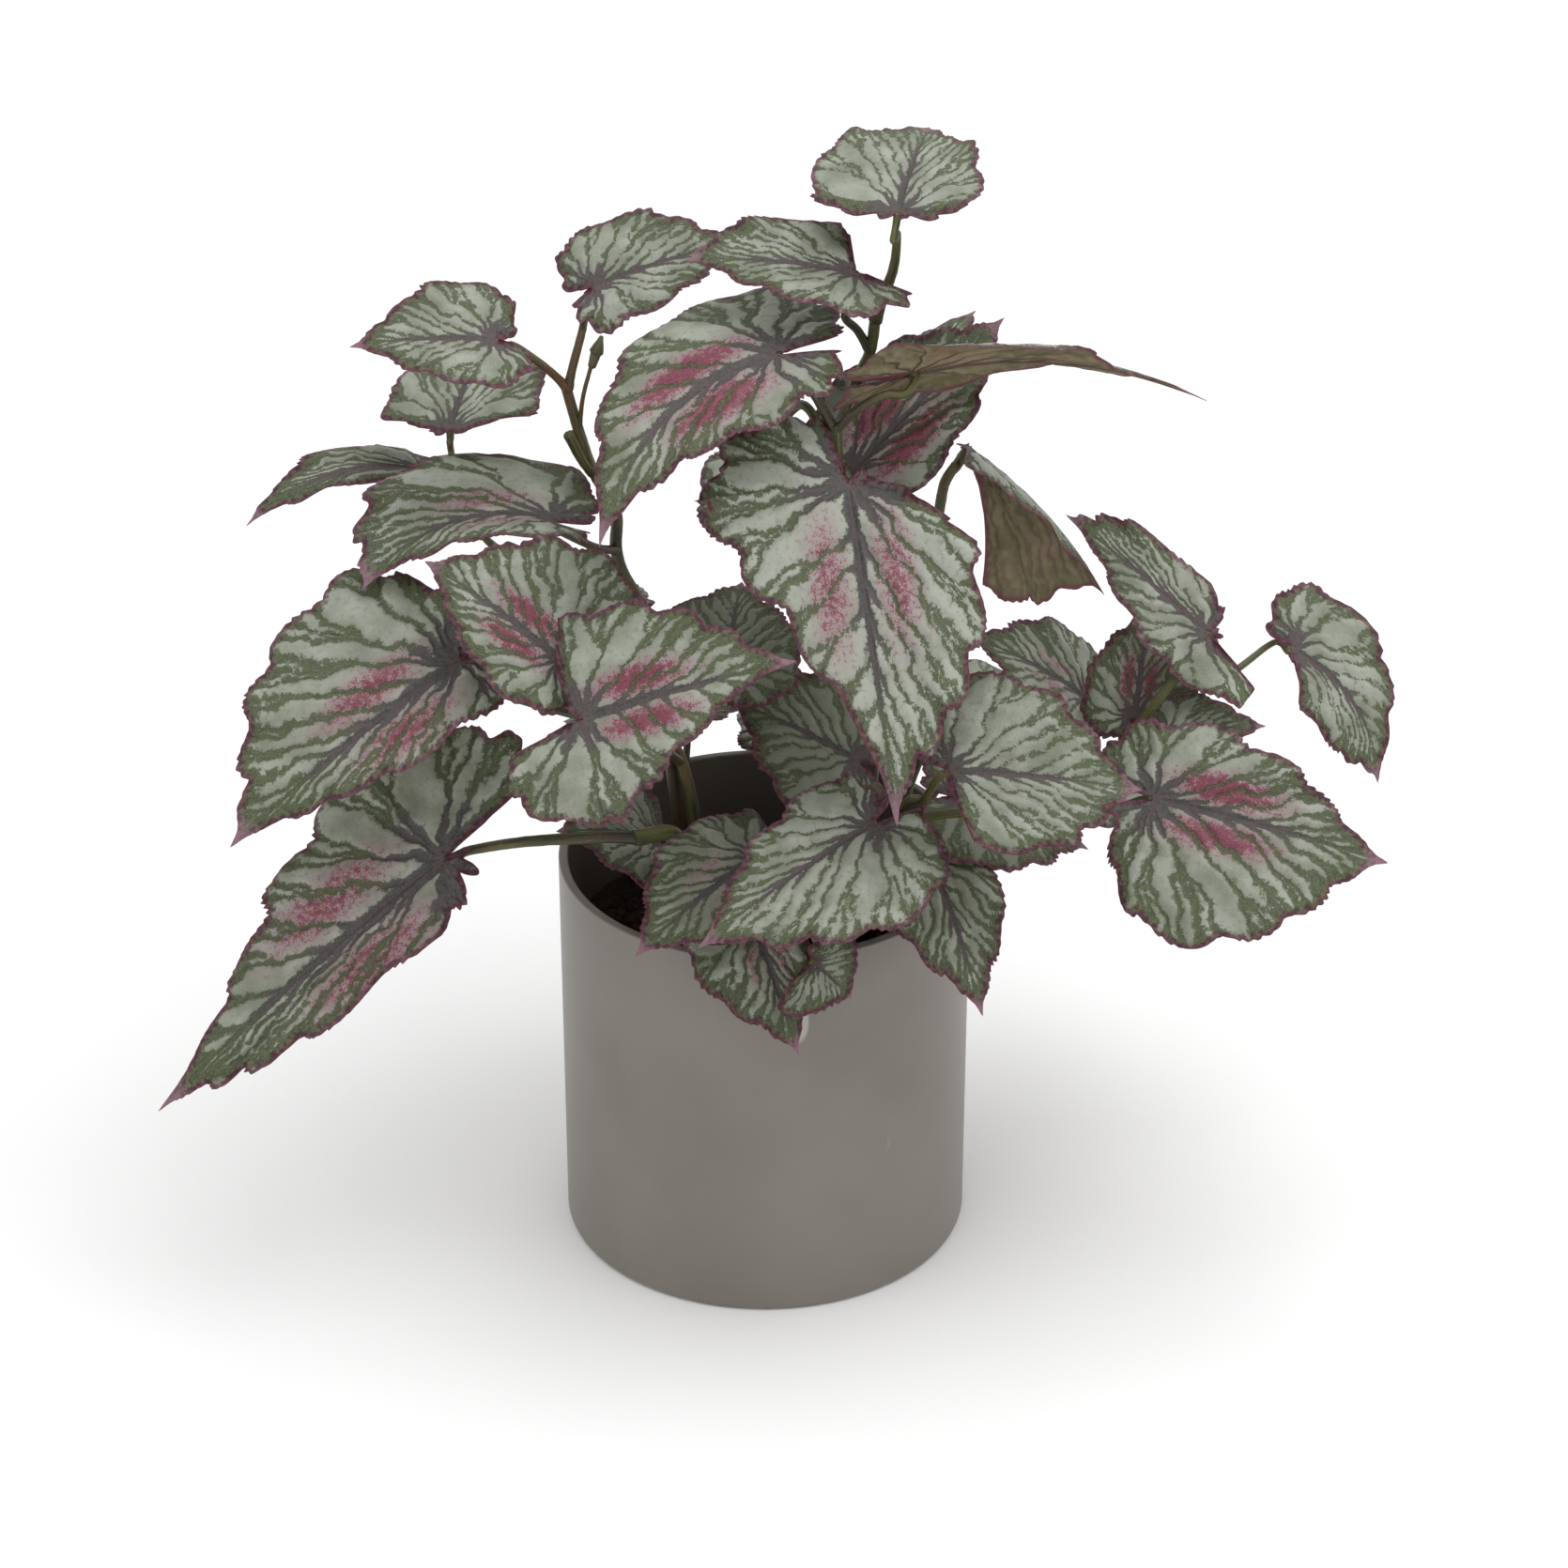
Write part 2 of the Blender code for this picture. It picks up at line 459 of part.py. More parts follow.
def make_leaf(name, leaf, collection, finish):
    """A blade: a grid laid on its surface, drawn together at its base, and given its thickness."""
    points = blade_points(leaf) * MM
    bm = bmesh.new()
    bmesh.ops.create_grid(bm, x_segments=2 * leaf.teeth, y_segments=len(BLADE_ROWS) - 1, size=1)
    bm.verts.ensure_lookup_table()
    for vertex, point in zip(bm.verts, points.reshape(-1, 3)):
        vertex.co = point
    bmesh.ops.remove_doubles(bm, verts=bm.verts[:2 * leaf.teeth + 1], dist=WELD)
    bmesh.ops.triangulate(bm, faces=bm.faces)
    mesh = bpy.data.meshes.new(name)
    bm.to_mesh(mesh)
    bm.free()
    mesh.shade_smooth()
    blade = add_mesh(name, mesh, collection, finish)
    thick = blade.modifiers.new("Thickness", "SOLIDIFY")
    thick.thickness = BLADE * MM
    thick.offset = 0


def petiole_end(leaf):
    """The last points of a petiole, which comes up from below and behind to just under its blade."""
    axes, _ = leaf_axes(leaf)
    u, _, _, upward = midrib(leaf)
    along, side, _ = axes
    up = upward[np.argmin(abs(u))] @ axes
    drop, aside = leaf.seat
    below, behind = leaf.reach
    end = np.array(leaf.base) - up * drop + side * aside
    return [end - up * below - along * behind, end - up * LAST_RISE - along * LAST_LEAN, end]


def petiole_mesh(name, petiole):
    """A round stalk as one closed mesh."""
    points = list(petiole.points)
    if petiole.leaf:
        points += petiole_end(LEAVES[petiole.leaf])
    line = smooth_line(points, PETIOLE_STEPS)
    data = bpy.data.curves.new(name, "CURVE")
    data.dimensions = "3D"
    data.bevel_depth = MM
    data.bevel_resolution = PETIOLE_BEVEL
    data.use_fill_caps = True
    spline = data.splines.new("POLY")
    spline.points.add(len(line) - 1)
    for point, place, radius in zip(spline.points, line, np.linspace(*petiole.radii, len(line))):
        point.co = (*(place * MM), 1)
        point.radius = radius
    stalk = bpy.data.objects.new(name, data)
    bpy.context.scene.collection.objects.link(stalk)
    mesh = applied(stalk, name)
    bm = bmesh.new()
    bm.from_mesh(mesh)
    bmesh.ops.remove_doubles(bm, verts=bm.verts, dist=WELD)
    bm.to_mesh(mesh)
    bm.free()
    return mesh


def make_stems(name, petioles, collection, finish):
    """The stalks of one group, joined into one body."""
    branches = bpy.data.collections.new("branches of " + name)
    bpy.context.scene.collection.children.link(branches)
    first, *others = petioles
    for number, petiole in enumerate(others, 1):
        add_mesh("%s_branch_%d" % (name, number), petiole_mesh(name, petiole), branches)
    trunk = add_mesh(name, petiole_mesh(name, first), bpy.context.scene.collection)
    join = trunk.modifiers.new("Join", "BOOLEAN")
    join.operation = "UNION"
    join.operand_type = "COLLECTION"
    join.collection = branches
    mesh = applied(trunk, name)
    for branch in list(branches.objects):
        bpy.data.objects.remove(branch)
    bpy.data.collections.remove(branches)
    mesh.materials.clear()
    mesh.shade_smooth()
    mesh.set_sharp_from_angle(angle=math.radians(50))
    add_mesh(name, mesh, collection, finish)


def new_collection(name):
    """A collection of the scene."""
    made = bpy.data.collections.new(name)
    bpy.context.scene.collection.children.link(made)
    return made


def clear_scene():
    """Removes the objects that the file opened with."""
    for found in list(bpy.data.objects):
        bpy.data.objects.remove(found)


def build():
    """Makes the potted plant."""
    clear_scene()
    plant = new_collection("Potted begonia")
    cutters = make_hole_cutters(new_collection("Cutters"))
    make_pot(plant)
    make_soil(plant, cutters)
    stalk_finish = material("Petiole skin", (0.16, 0.15, 0.07), 0.5)
    for name, petioles in STEMS.items():
        make_stems("stem_" + name, petioles, plant, stalk_finish)
    leaf_finish = material("Leaf skin", (0.30, 0.36, 0.28), 0.5)
    for name, leaf in LEAVES.items():
        make_leaf(name, leaf, plant, leaf_finish)


build()
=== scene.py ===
"""A potted begonia as the photograph shows it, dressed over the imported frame.

Lengths are metres once MM has been applied: the tables keep whole millimetres. The frame's X runs to
the right, Z up, and the plant's front looks along -Y.
"""

import math
from dataclasses import dataclass

import bmesh
import bpy
import numpy as np
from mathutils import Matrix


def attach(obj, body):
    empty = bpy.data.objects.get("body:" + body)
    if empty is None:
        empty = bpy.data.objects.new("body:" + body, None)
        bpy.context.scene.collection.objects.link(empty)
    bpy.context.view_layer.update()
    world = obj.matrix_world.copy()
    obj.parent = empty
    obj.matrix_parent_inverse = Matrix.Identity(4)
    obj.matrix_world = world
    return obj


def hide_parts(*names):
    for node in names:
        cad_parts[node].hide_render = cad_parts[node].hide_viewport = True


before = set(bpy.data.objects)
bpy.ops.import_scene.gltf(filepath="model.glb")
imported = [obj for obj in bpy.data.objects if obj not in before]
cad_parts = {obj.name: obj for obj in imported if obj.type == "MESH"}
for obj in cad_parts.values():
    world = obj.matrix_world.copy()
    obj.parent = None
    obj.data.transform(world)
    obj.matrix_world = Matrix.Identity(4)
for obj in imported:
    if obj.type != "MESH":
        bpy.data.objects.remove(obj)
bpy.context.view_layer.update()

# The pot
#
# A plain cylinder of glazed stoneware, cast in one piece, with a thin rim left sharp and a foot that is
# just rounded. The glaze is a satin taupe grey with faint mottling and a few pale scratches low down.

MM = 0.001
POT_TOP_RADIUS = 85.0
POT_BASE_RADIUS = 84.0
POT_HEIGHT = 172.0
POT_WALL = 4.0
POT_FLOOR = 5.0
POT_FOOT_ROUND = 3.0
POT_RIM_ROUND = 0.8
POT_SIDES = 192


def srgb(red, green, blue):
    """A colour given as three screen values from 0 to 255, as linear light with alpha."""
    light = (np.array([red, green, blue]) / 255) ** 2.2
    return (*light, 1.0)


class Wire:
    """A socket of a skin's node tree. Arithmetic on it adds Math nodes."""

    def __init__(self, skin, socket):
        self.skin = skin
        self.socket = socket

    def math(self, operation, first, second=0.0, clamp=False):
        """One Math node on two values."""
        return self.skin.node("ShaderNodeMath", {0: first, 1: second}, operation=operation, use_clamp=clamp)

    def __add__(self, other):
        return self.math("ADD", self, other)

    def __radd__(self, other):
        return self.math("ADD", other, self)

    def __sub__(self, other):
        return self.math("SUBTRACT", self, other)

    def __rsub__(self, other):
        return self.math("SUBTRACT", other, self)

    def __mul__(self, other):
        return self.math("MULTIPLY", self, other)

    def __rmul__(self, other):
        return self.math("MULTIPLY", other, self)

    def __truediv__(self, other):
        return self.math("DIVIDE", self, other)

    def step(self, low, high):
        """Rises smoothly from 0 at low to 1 at high."""
        return self.skin.node("ShaderNodeMapRange", {"Value": self, "From Min": low, "From Max": high},
                              interpolation_type="SMOOTHSTEP")


class Skin:
    """A Principled material whose node tree is built by calls."""

    def __init__(self, name):
        self.material = bpy.data.materials.new(name)
        self.material.use_nodes = True
        self.tree = self.material.node_tree
        self.shader = self.tree.nodes["Principled BSDF"]

    def node(self, kind, inputs, output=0, **settings):
        """Adds a node: its settings first, then the values or links of its sockets. Returns one output."""
        made = self.tree.nodes.new(kind)
        for key, value in settings.items():
            setattr(made, key, value)
        for key, value in inputs.items():
            self.plug(made.inputs[key], value)
        return Wire(self, made.outputs[output])

    def plug(self, socket, value):
        """Gives a socket a link or a fixed value."""
        if isinstance(value, Wire):
            self.tree.links.new(value.socket, socket)
        else:
            socket.default_value = value

    def mix(self, factor, first, second):
        """A colour between two colours."""
        return self.node("ShaderNodeMix", {0: factor, 6: first, 7: second}, output=2, data_type="RGBA")

    def noise(self, place, scale, detail=2.0):
        """Smooth noise from 0 to 1 about 0.5, with this many swells in a metre."""
        return self.node("ShaderNodeTexNoise", {"Vector": place, "Scale": scale, "Detail": detail})

    def reading(self, name, output="Fac"):
        """An attribute that the mesh carries."""
        return self.node("ShaderNodeAttribute", {}, output=output, attribute_name=name)

    def finish(self, colour, roughness, height=None, depth=0.0, **fixed):
        """Plugs the shader: its colour and roughness, a bump of this depth, and any fixed sockets."""
        self.plug(self.shader.inputs["Base Color"], colour)
        self.plug(self.shader.inputs["Roughness"], roughness)
        if height is not None:
            bump = self.node("ShaderNodeBump", {"Height": height, "Distance": depth, "Strength": 1.0})
            self.plug(self.shader.inputs["Normal"], bump)
        for name, value in fixed.items():
            self.plug(self.shader.inputs[name.replace("_", " ")], value)
        return self.material


def surface_mesh(name, points, faces, materials, face_materials=None, sharp=40):
    """A mesh from arrays of points and of faces, each face array of its own corner count."""
    mesh = bpy.data.meshes.new(name)
    counts = np.concatenate([np.full(len(part), part.shape[1]) for part in faces])
    corners = np.concatenate([part.ravel() for part in faces])
    mesh.vertices.add(len(points))
    mesh.vertices.foreach_set("co", np.asarray(points, np.float32).ravel())
    mesh.loops.add(len(corners))
    mesh.loops.foreach_set("vertex_index", corners.astype(np.int32))
    mesh.polygons.add(len(counts))
    mesh.polygons.foreach_set("loop_start", (np.cumsum(counts) - counts).astype(np.int32))
    for material in materials:
        mesh.materials.append(material)
    if face_materials is not None:
        mesh.polygons.foreach_set("material_index", face_materials.astype(np.int32))
    mesh.update(calc_edges=True)
    mesh.shade_smooth()
    mesh.set_sharp_from_angle(angle=math.radians(sharp))
    return mesh


def place(name, mesh, nodes, slot):
    """Puts a finished mesh in the scene in place of these nodes. The slot is not used."""
    piece = bpy.data.objects.new(name, mesh)
    bpy.context.scene.collection.objects.link(piece)
    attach(piece, "root")
    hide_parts(*nodes)
    return piece


def carry(mesh, name, values):
    """Writes one number, or one vector, for each point of a mesh as an attribute."""
    values = np.asarray(values, np.float32)
    if values.ndim == 1:
        mesh.attributes.new(name, "FLOAT", "POINT").data.foreach_set("value", values)
    else:
        mesh.attributes.new(name, "FLOAT_VECTOR", "POINT").data.foreach_set("vector", values.ravel())


def turned_faces(rows, sides):
    """Quads between rings of a turned shape that starts and ends at a pole, and the pole triangles."""
    ring = np.arange(sides)
    after = (ring + 1) % sides
    starts = 1 + np.arange(rows - 1)[:, None] * sides
    quads = np.stack([starts + ring, starts + sides + ring, starts + sides + after, starts + after], -1)
    last = 1 + rows * sides
    top = np.stack([np.zeros(sides, int), 1 + ring, 1 + after], -1)
    low = np.stack([np.full(sides, last), last - sides + after, last - sides + ring], -1)
    return quads.reshape(-1, 4), np.vstack([top, low])


def turned_points(profile, sides):
    """A profile of (radius, height) turned about Z: x = r cos a, y = r sin a. Its ends are poles."""
    profile = np.asarray(profile, float)
    angle = np.arange(sides) / sides * 2 * np.pi
    rings = np.stack([profile[1:-1, :1] * np.cos(angle), profile[1:-1, :1] * np.sin(angle),
                      np.repeat(profile[1:-1, 1:], sides, 1)], -1)
    poles = [[0, 0, profile[0, 1]]], [[0, 0, profile[-1, 1]]]
    return np.vstack([poles[0], rings.reshape(-1, 3), poles[1]])


def arc(centre, radius, start, end, steps):
    """Points (radius, height) of an arc between two angles in degrees."""
    angle = np.radians(np.linspace(start, end, steps + 1))
    return np.stack([centre[0] + radius * np.cos(angle), centre[1] + radius * np.sin(angle)], -1)


def pot_radius(height):
    """The pot's outer radius, which widens evenly from foot to rim."""
    return POT_BASE_RADIUS + (POT_TOP_RADIUS - POT_BASE_RADIUS) * height / POT_HEIGHT


def run_between(first, last, steps):
    """Evenly spaced points from just after the first point to just before the last."""
    return np.linspace(first, last, steps + 2)[1:-1]


def pot_glaze():
    """Satin taupe glaze: broad mottling, fine orange-peel, and sparse short pale scratches."""
    skin = Skin("Pot glaze")
    where = skin.node("ShaderNodeTexCoord", {}, output="Object")
    broad = skin.noise(where, 14.0, 3.0)
    fine = skin.noise(where, 900.0, 2.0)
    stretched = skin.node("ShaderNodeMapping", {"Vector": where, "Rotation": (0.35, 0.0, 0.2),
                                                "Scale": (60.0, 60.0, 17.0)})
    scratch = skin.noise(stretched, 1.0, 0.0).step(0.80, 0.83)
    body = skin.mix(broad.step(0.3, 0.7), srgb(112, 106, 99), srgb(120, 114, 107))
    colour = skin.mix(scratch * 0.7, body, srgb(176, 172, 166))
    return skin.finish(colour, 0.36 + 0.08 * broad, fine, 0.00004, Specular_IOR_Level=0.5)


def make_pot():
    """Profile: inner floor, inner wall, round rim, outer wall, round foot, and underside."""
    rim = POT_HEIGHT - POT_RIM_ROUND
    inner = arc((POT_TOP_RADIUS - POT_WALL + POT_RIM_ROUND, rim), POT_RIM_ROUND, 180, 90, 5)
    outer = arc((POT_TOP_RADIUS - POT_RIM_ROUND, rim), POT_RIM_ROUND, 90, 0, 5)
    foot = arc((POT_BASE_RADIUS - POT_FOOT_ROUND, POT_FOOT_ROUND), POT_FOOT_ROUND, 0, -90, 8)
    corner = (pot_radius(POT_FLOOR) - POT_WALL, POT_FLOOR)
    profile = np.vstack([(0, POT_FLOOR), (30, POT_FLOOR), corner, run_between(corner, inner[0], 6), inner,
                         outer, run_between(outer[-1], foot[0], 10), foot, (30, 0), (0, 0)])
    points = turned_points(profile, POT_SIDES) * MM
    quads, poles = turned_faces(len(profile) - 2, POT_SIDES)
    mesh = surface_mesh("Pot", points, [quads, poles], [pot_glaze()])
    place("Pot", mesh, ["pot"], "pot")


make_pot()

# The soil
#
# Dark, damp potting mix that fills the pot to 42 mm below its rim: a crumbly surface with lumps of peat
# and a few chips of bark lying in it. The stems come straight out of it.

SOIL_TOP = 130.0
SOIL_MOUND = 1.6
SOIL_GAP = 0.3
SOIL_SIDES = 240
SOIL_RINGS = 84
SOIL_BELOW = 6
CRUMB = 1.1
LUMPS = 420
BARK_CHIPS = 26
chance = np.random.default_rng(11)


def swell(x, y, lengths, draws):
    """A sum of sine waves in random directions, one for each wavelength. Its size is about 1."""
    total = np.zeros_like(x)
    for length in lengths:
        turn = draws.uniform(0, 2 * np.pi)
        shift = draws.uniform(0, 2 * np.pi)
        total += np.sin((x * np.cos(turn) + y * np.sin(turn)) * 2 * np.pi / length + shift)
    return total / math.sqrt(len(lengths))


def soil_height(x, y):
    """The soil's top: a low mound with crumbs of several sizes."""
    reach = np.hypot(x, y) / POT_TOP_RADIUS
    crumbs = swell(x, y, (4.1, 5.3, 6.7, 8.9, 13.0, 3.3, 2.7), np.random.default_rng(5))
    return SOIL_TOP + SOIL_MOUND * (1 - reach**2) - 1.2 + CRUMB * crumbs * (1 - reach**8)


def soil_mix():
    """Near-black peat with brown fibres and small paler grains."""
    skin = Skin("Potting soil")
    where = skin.node("ShaderNodeTexCoord", {}, output="Object")
    clod = skin.noise(where, 130.0, 4.0)
    grain = skin.noise(where, 1300.0, 2.0)
    earth = skin.mix(clod.step(0.3, 0.7), srgb(34, 26, 21), srgb(66, 50, 40))
    colour = skin.mix(grain.step(0.66, 0.74), earth, srgb(128, 106, 84))
    return skin.finish(colour, 0.95, grain, 0.0006)


def bark():
    """Orange-brown bark, darker in its furrows."""
    skin = Skin("Bark chips")
    where = skin.node("ShaderNodeTexCoord", {}, output="Object")
    furrow = skin.noise(where, 420.0, 3.0)
    colour = skin.mix(furrow.step(0.35, 0.65), srgb(62, 36, 22), srgb(132, 78, 44))
    return skin.finish(colour, 0.85, furrow, 0.0005)


def make_soil():
    """Rings of the soil's height out to the wall, then down the wall and back under to the axis."""
    edge = pot_radius(SOIL_TOP) - POT_WALL - SOIL_GAP
    low = POT_FLOOR + SOIL_GAP
    low_edge = pot_radius(low) - POT_WALL - SOIL_GAP
    radius = np.r_[np.linspace(0, edge, SOIL_RINGS), run_between((edge, 0), (low_edge, 0), SOIL_BELOW)[:, 0],
                   low_edge, 0]
    height = np.r_[np.zeros(SOIL_RINGS), np.linspace(SOIL_TOP - 3, low, SOIL_BELOW + 1), low]
    points = turned_points(np.stack([radius, height], -1), SOIL_SIDES)
    top = np.arange(len(points)) < 1 + (SOIL_RINGS - 1) * SOIL_SIDES
    points[top, 2] = soil_height(points[top, 0], points[top, 1])
    quads, poles = turned_faces(len(radius) - 2, SOIL_SIDES)
    mesh = surface_mesh("Soil", points * MM, [quads, poles], [soil_mix()])
    return place("Soil", mesh, ["soil"], "soil")


def pebble():
    """An icosphere of 80 faces as arrays."""
    bm = bmesh.new()
    bmesh.ops.create_icosphere(bm, subdivisions=2, radius=1.0)
    points = np.array([v.co for v in bm.verts])
    faces = np.array([[v.index for v in f.verts] for f in bm.faces])
    bm.free()
    return points, faces


def scatter(name, count, sizes, flatness, material):
    """Pebbles strewn on the soil, each stretched, roughened and turned, and sunk by half."""
    points, faces = pebble()
    reach = (POT_TOP_RADIUS - POT_WALL - sizes[1] - 1) * np.sqrt(chance.uniform(0, 1, count))
    turn = chance.uniform(0, 2 * np.pi, count)
    size = chance.uniform(*sizes, count)
    stretch = size[:, None] * np.stack([np.ones(count), chance.uniform(0.55, 0.95, count),
                                        chance.uniform(*flatness, count)], -1)
    spin = chance.uniform(0, 2 * np.pi, count)
    rough = 1 + chance.normal(0, 0.10, (count, len(points), 1))
    shape = points[None] * rough * stretch[:, None]
    x = shape[..., 0] * np.cos(spin)[:, None] - shape[..., 1] * np.sin(spin)[:, None]
    y = shape[..., 0] * np.sin(spin)[:, None] + shape[..., 1] * np.cos(spin)[:, None]
    centre_x, centre_y = reach * np.cos(turn), reach * np.sin(turn)
    lift = soil_height(centre_x, centre_y) + stretch[:, 2] * 0.25
    cloud = np.stack([x + centre_x[:, None], y + centre_y[:, None], shape[..., 2] + lift[:, None]], -1)
    every = faces[None] + (np.arange(count) * len(points))[:, None, None]
    mesh = surface_mesh(name, cloud.reshape(-1, 3) * MM, [every.reshape(-1, 3)], [material], sharp=60)
    piece = bpy.data.objects.new(name, mesh)
    bpy.context.scene.collection.objects.link(piece)
    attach(piece, "root")


soil = make_soil()
scatter("Peat_lumps", LUMPS, (1.0, 3.0), (0.5, 0.9), soil.data.materials[0])
scatter("Bark_chips", BARK_CHIPS, (3.5, 7.0), (0.16, 0.3), bark())

# The leaves' places
#
# Forty-one blades, each held at its base by a petiole. base and tip are the ends of the midrib, face is
# the way the upper side looks, half is the width of the left and right half, and the other values say how
# far the lobes reach back, how slim each half is, and how the blade droops, turns, twists, folds and cups.
# green is how much of the blade the dark net covers, flush how much crimson lies along the midrib.
# pale is how light the silver is; each leaf's value paints shade on leaves in shade and light on lit ones.


@dataclass
class Leaf:
    """One blade. Pairs are its left and right half, seen from above with the tip ahead."""

    base: tuple
    tip: tuple
    face: tuple
    half: tuple
    lobes: tuple = (1.0, 1.0)
    slim: tuple = (1.0, 1.0)
    lean: tuple = (0.0, 0.0)
    bend: float = 25.0
    sweep: float = 0.0
    twist: float = 0.0
    fold: tuple = (12.0, 12.0)
    cup: tuple = (-20.0, -20.0)
    teeth: int = 12
    seat: tuple = (1.0, 0.0)
    reach: tuple = (9.0, 7.0)
    green: float = 0.9
    flush: float = 0.15
    # How light the silver is: painted shade on leaves in shade, painted light on lit ones.
    pale: float = 0.5


@dataclass
class Petiole:
    """A round stalk through these points, thinning from its foot, which may end at a leaf."""

    radii: tuple
    points: list
    leaf: str = ""
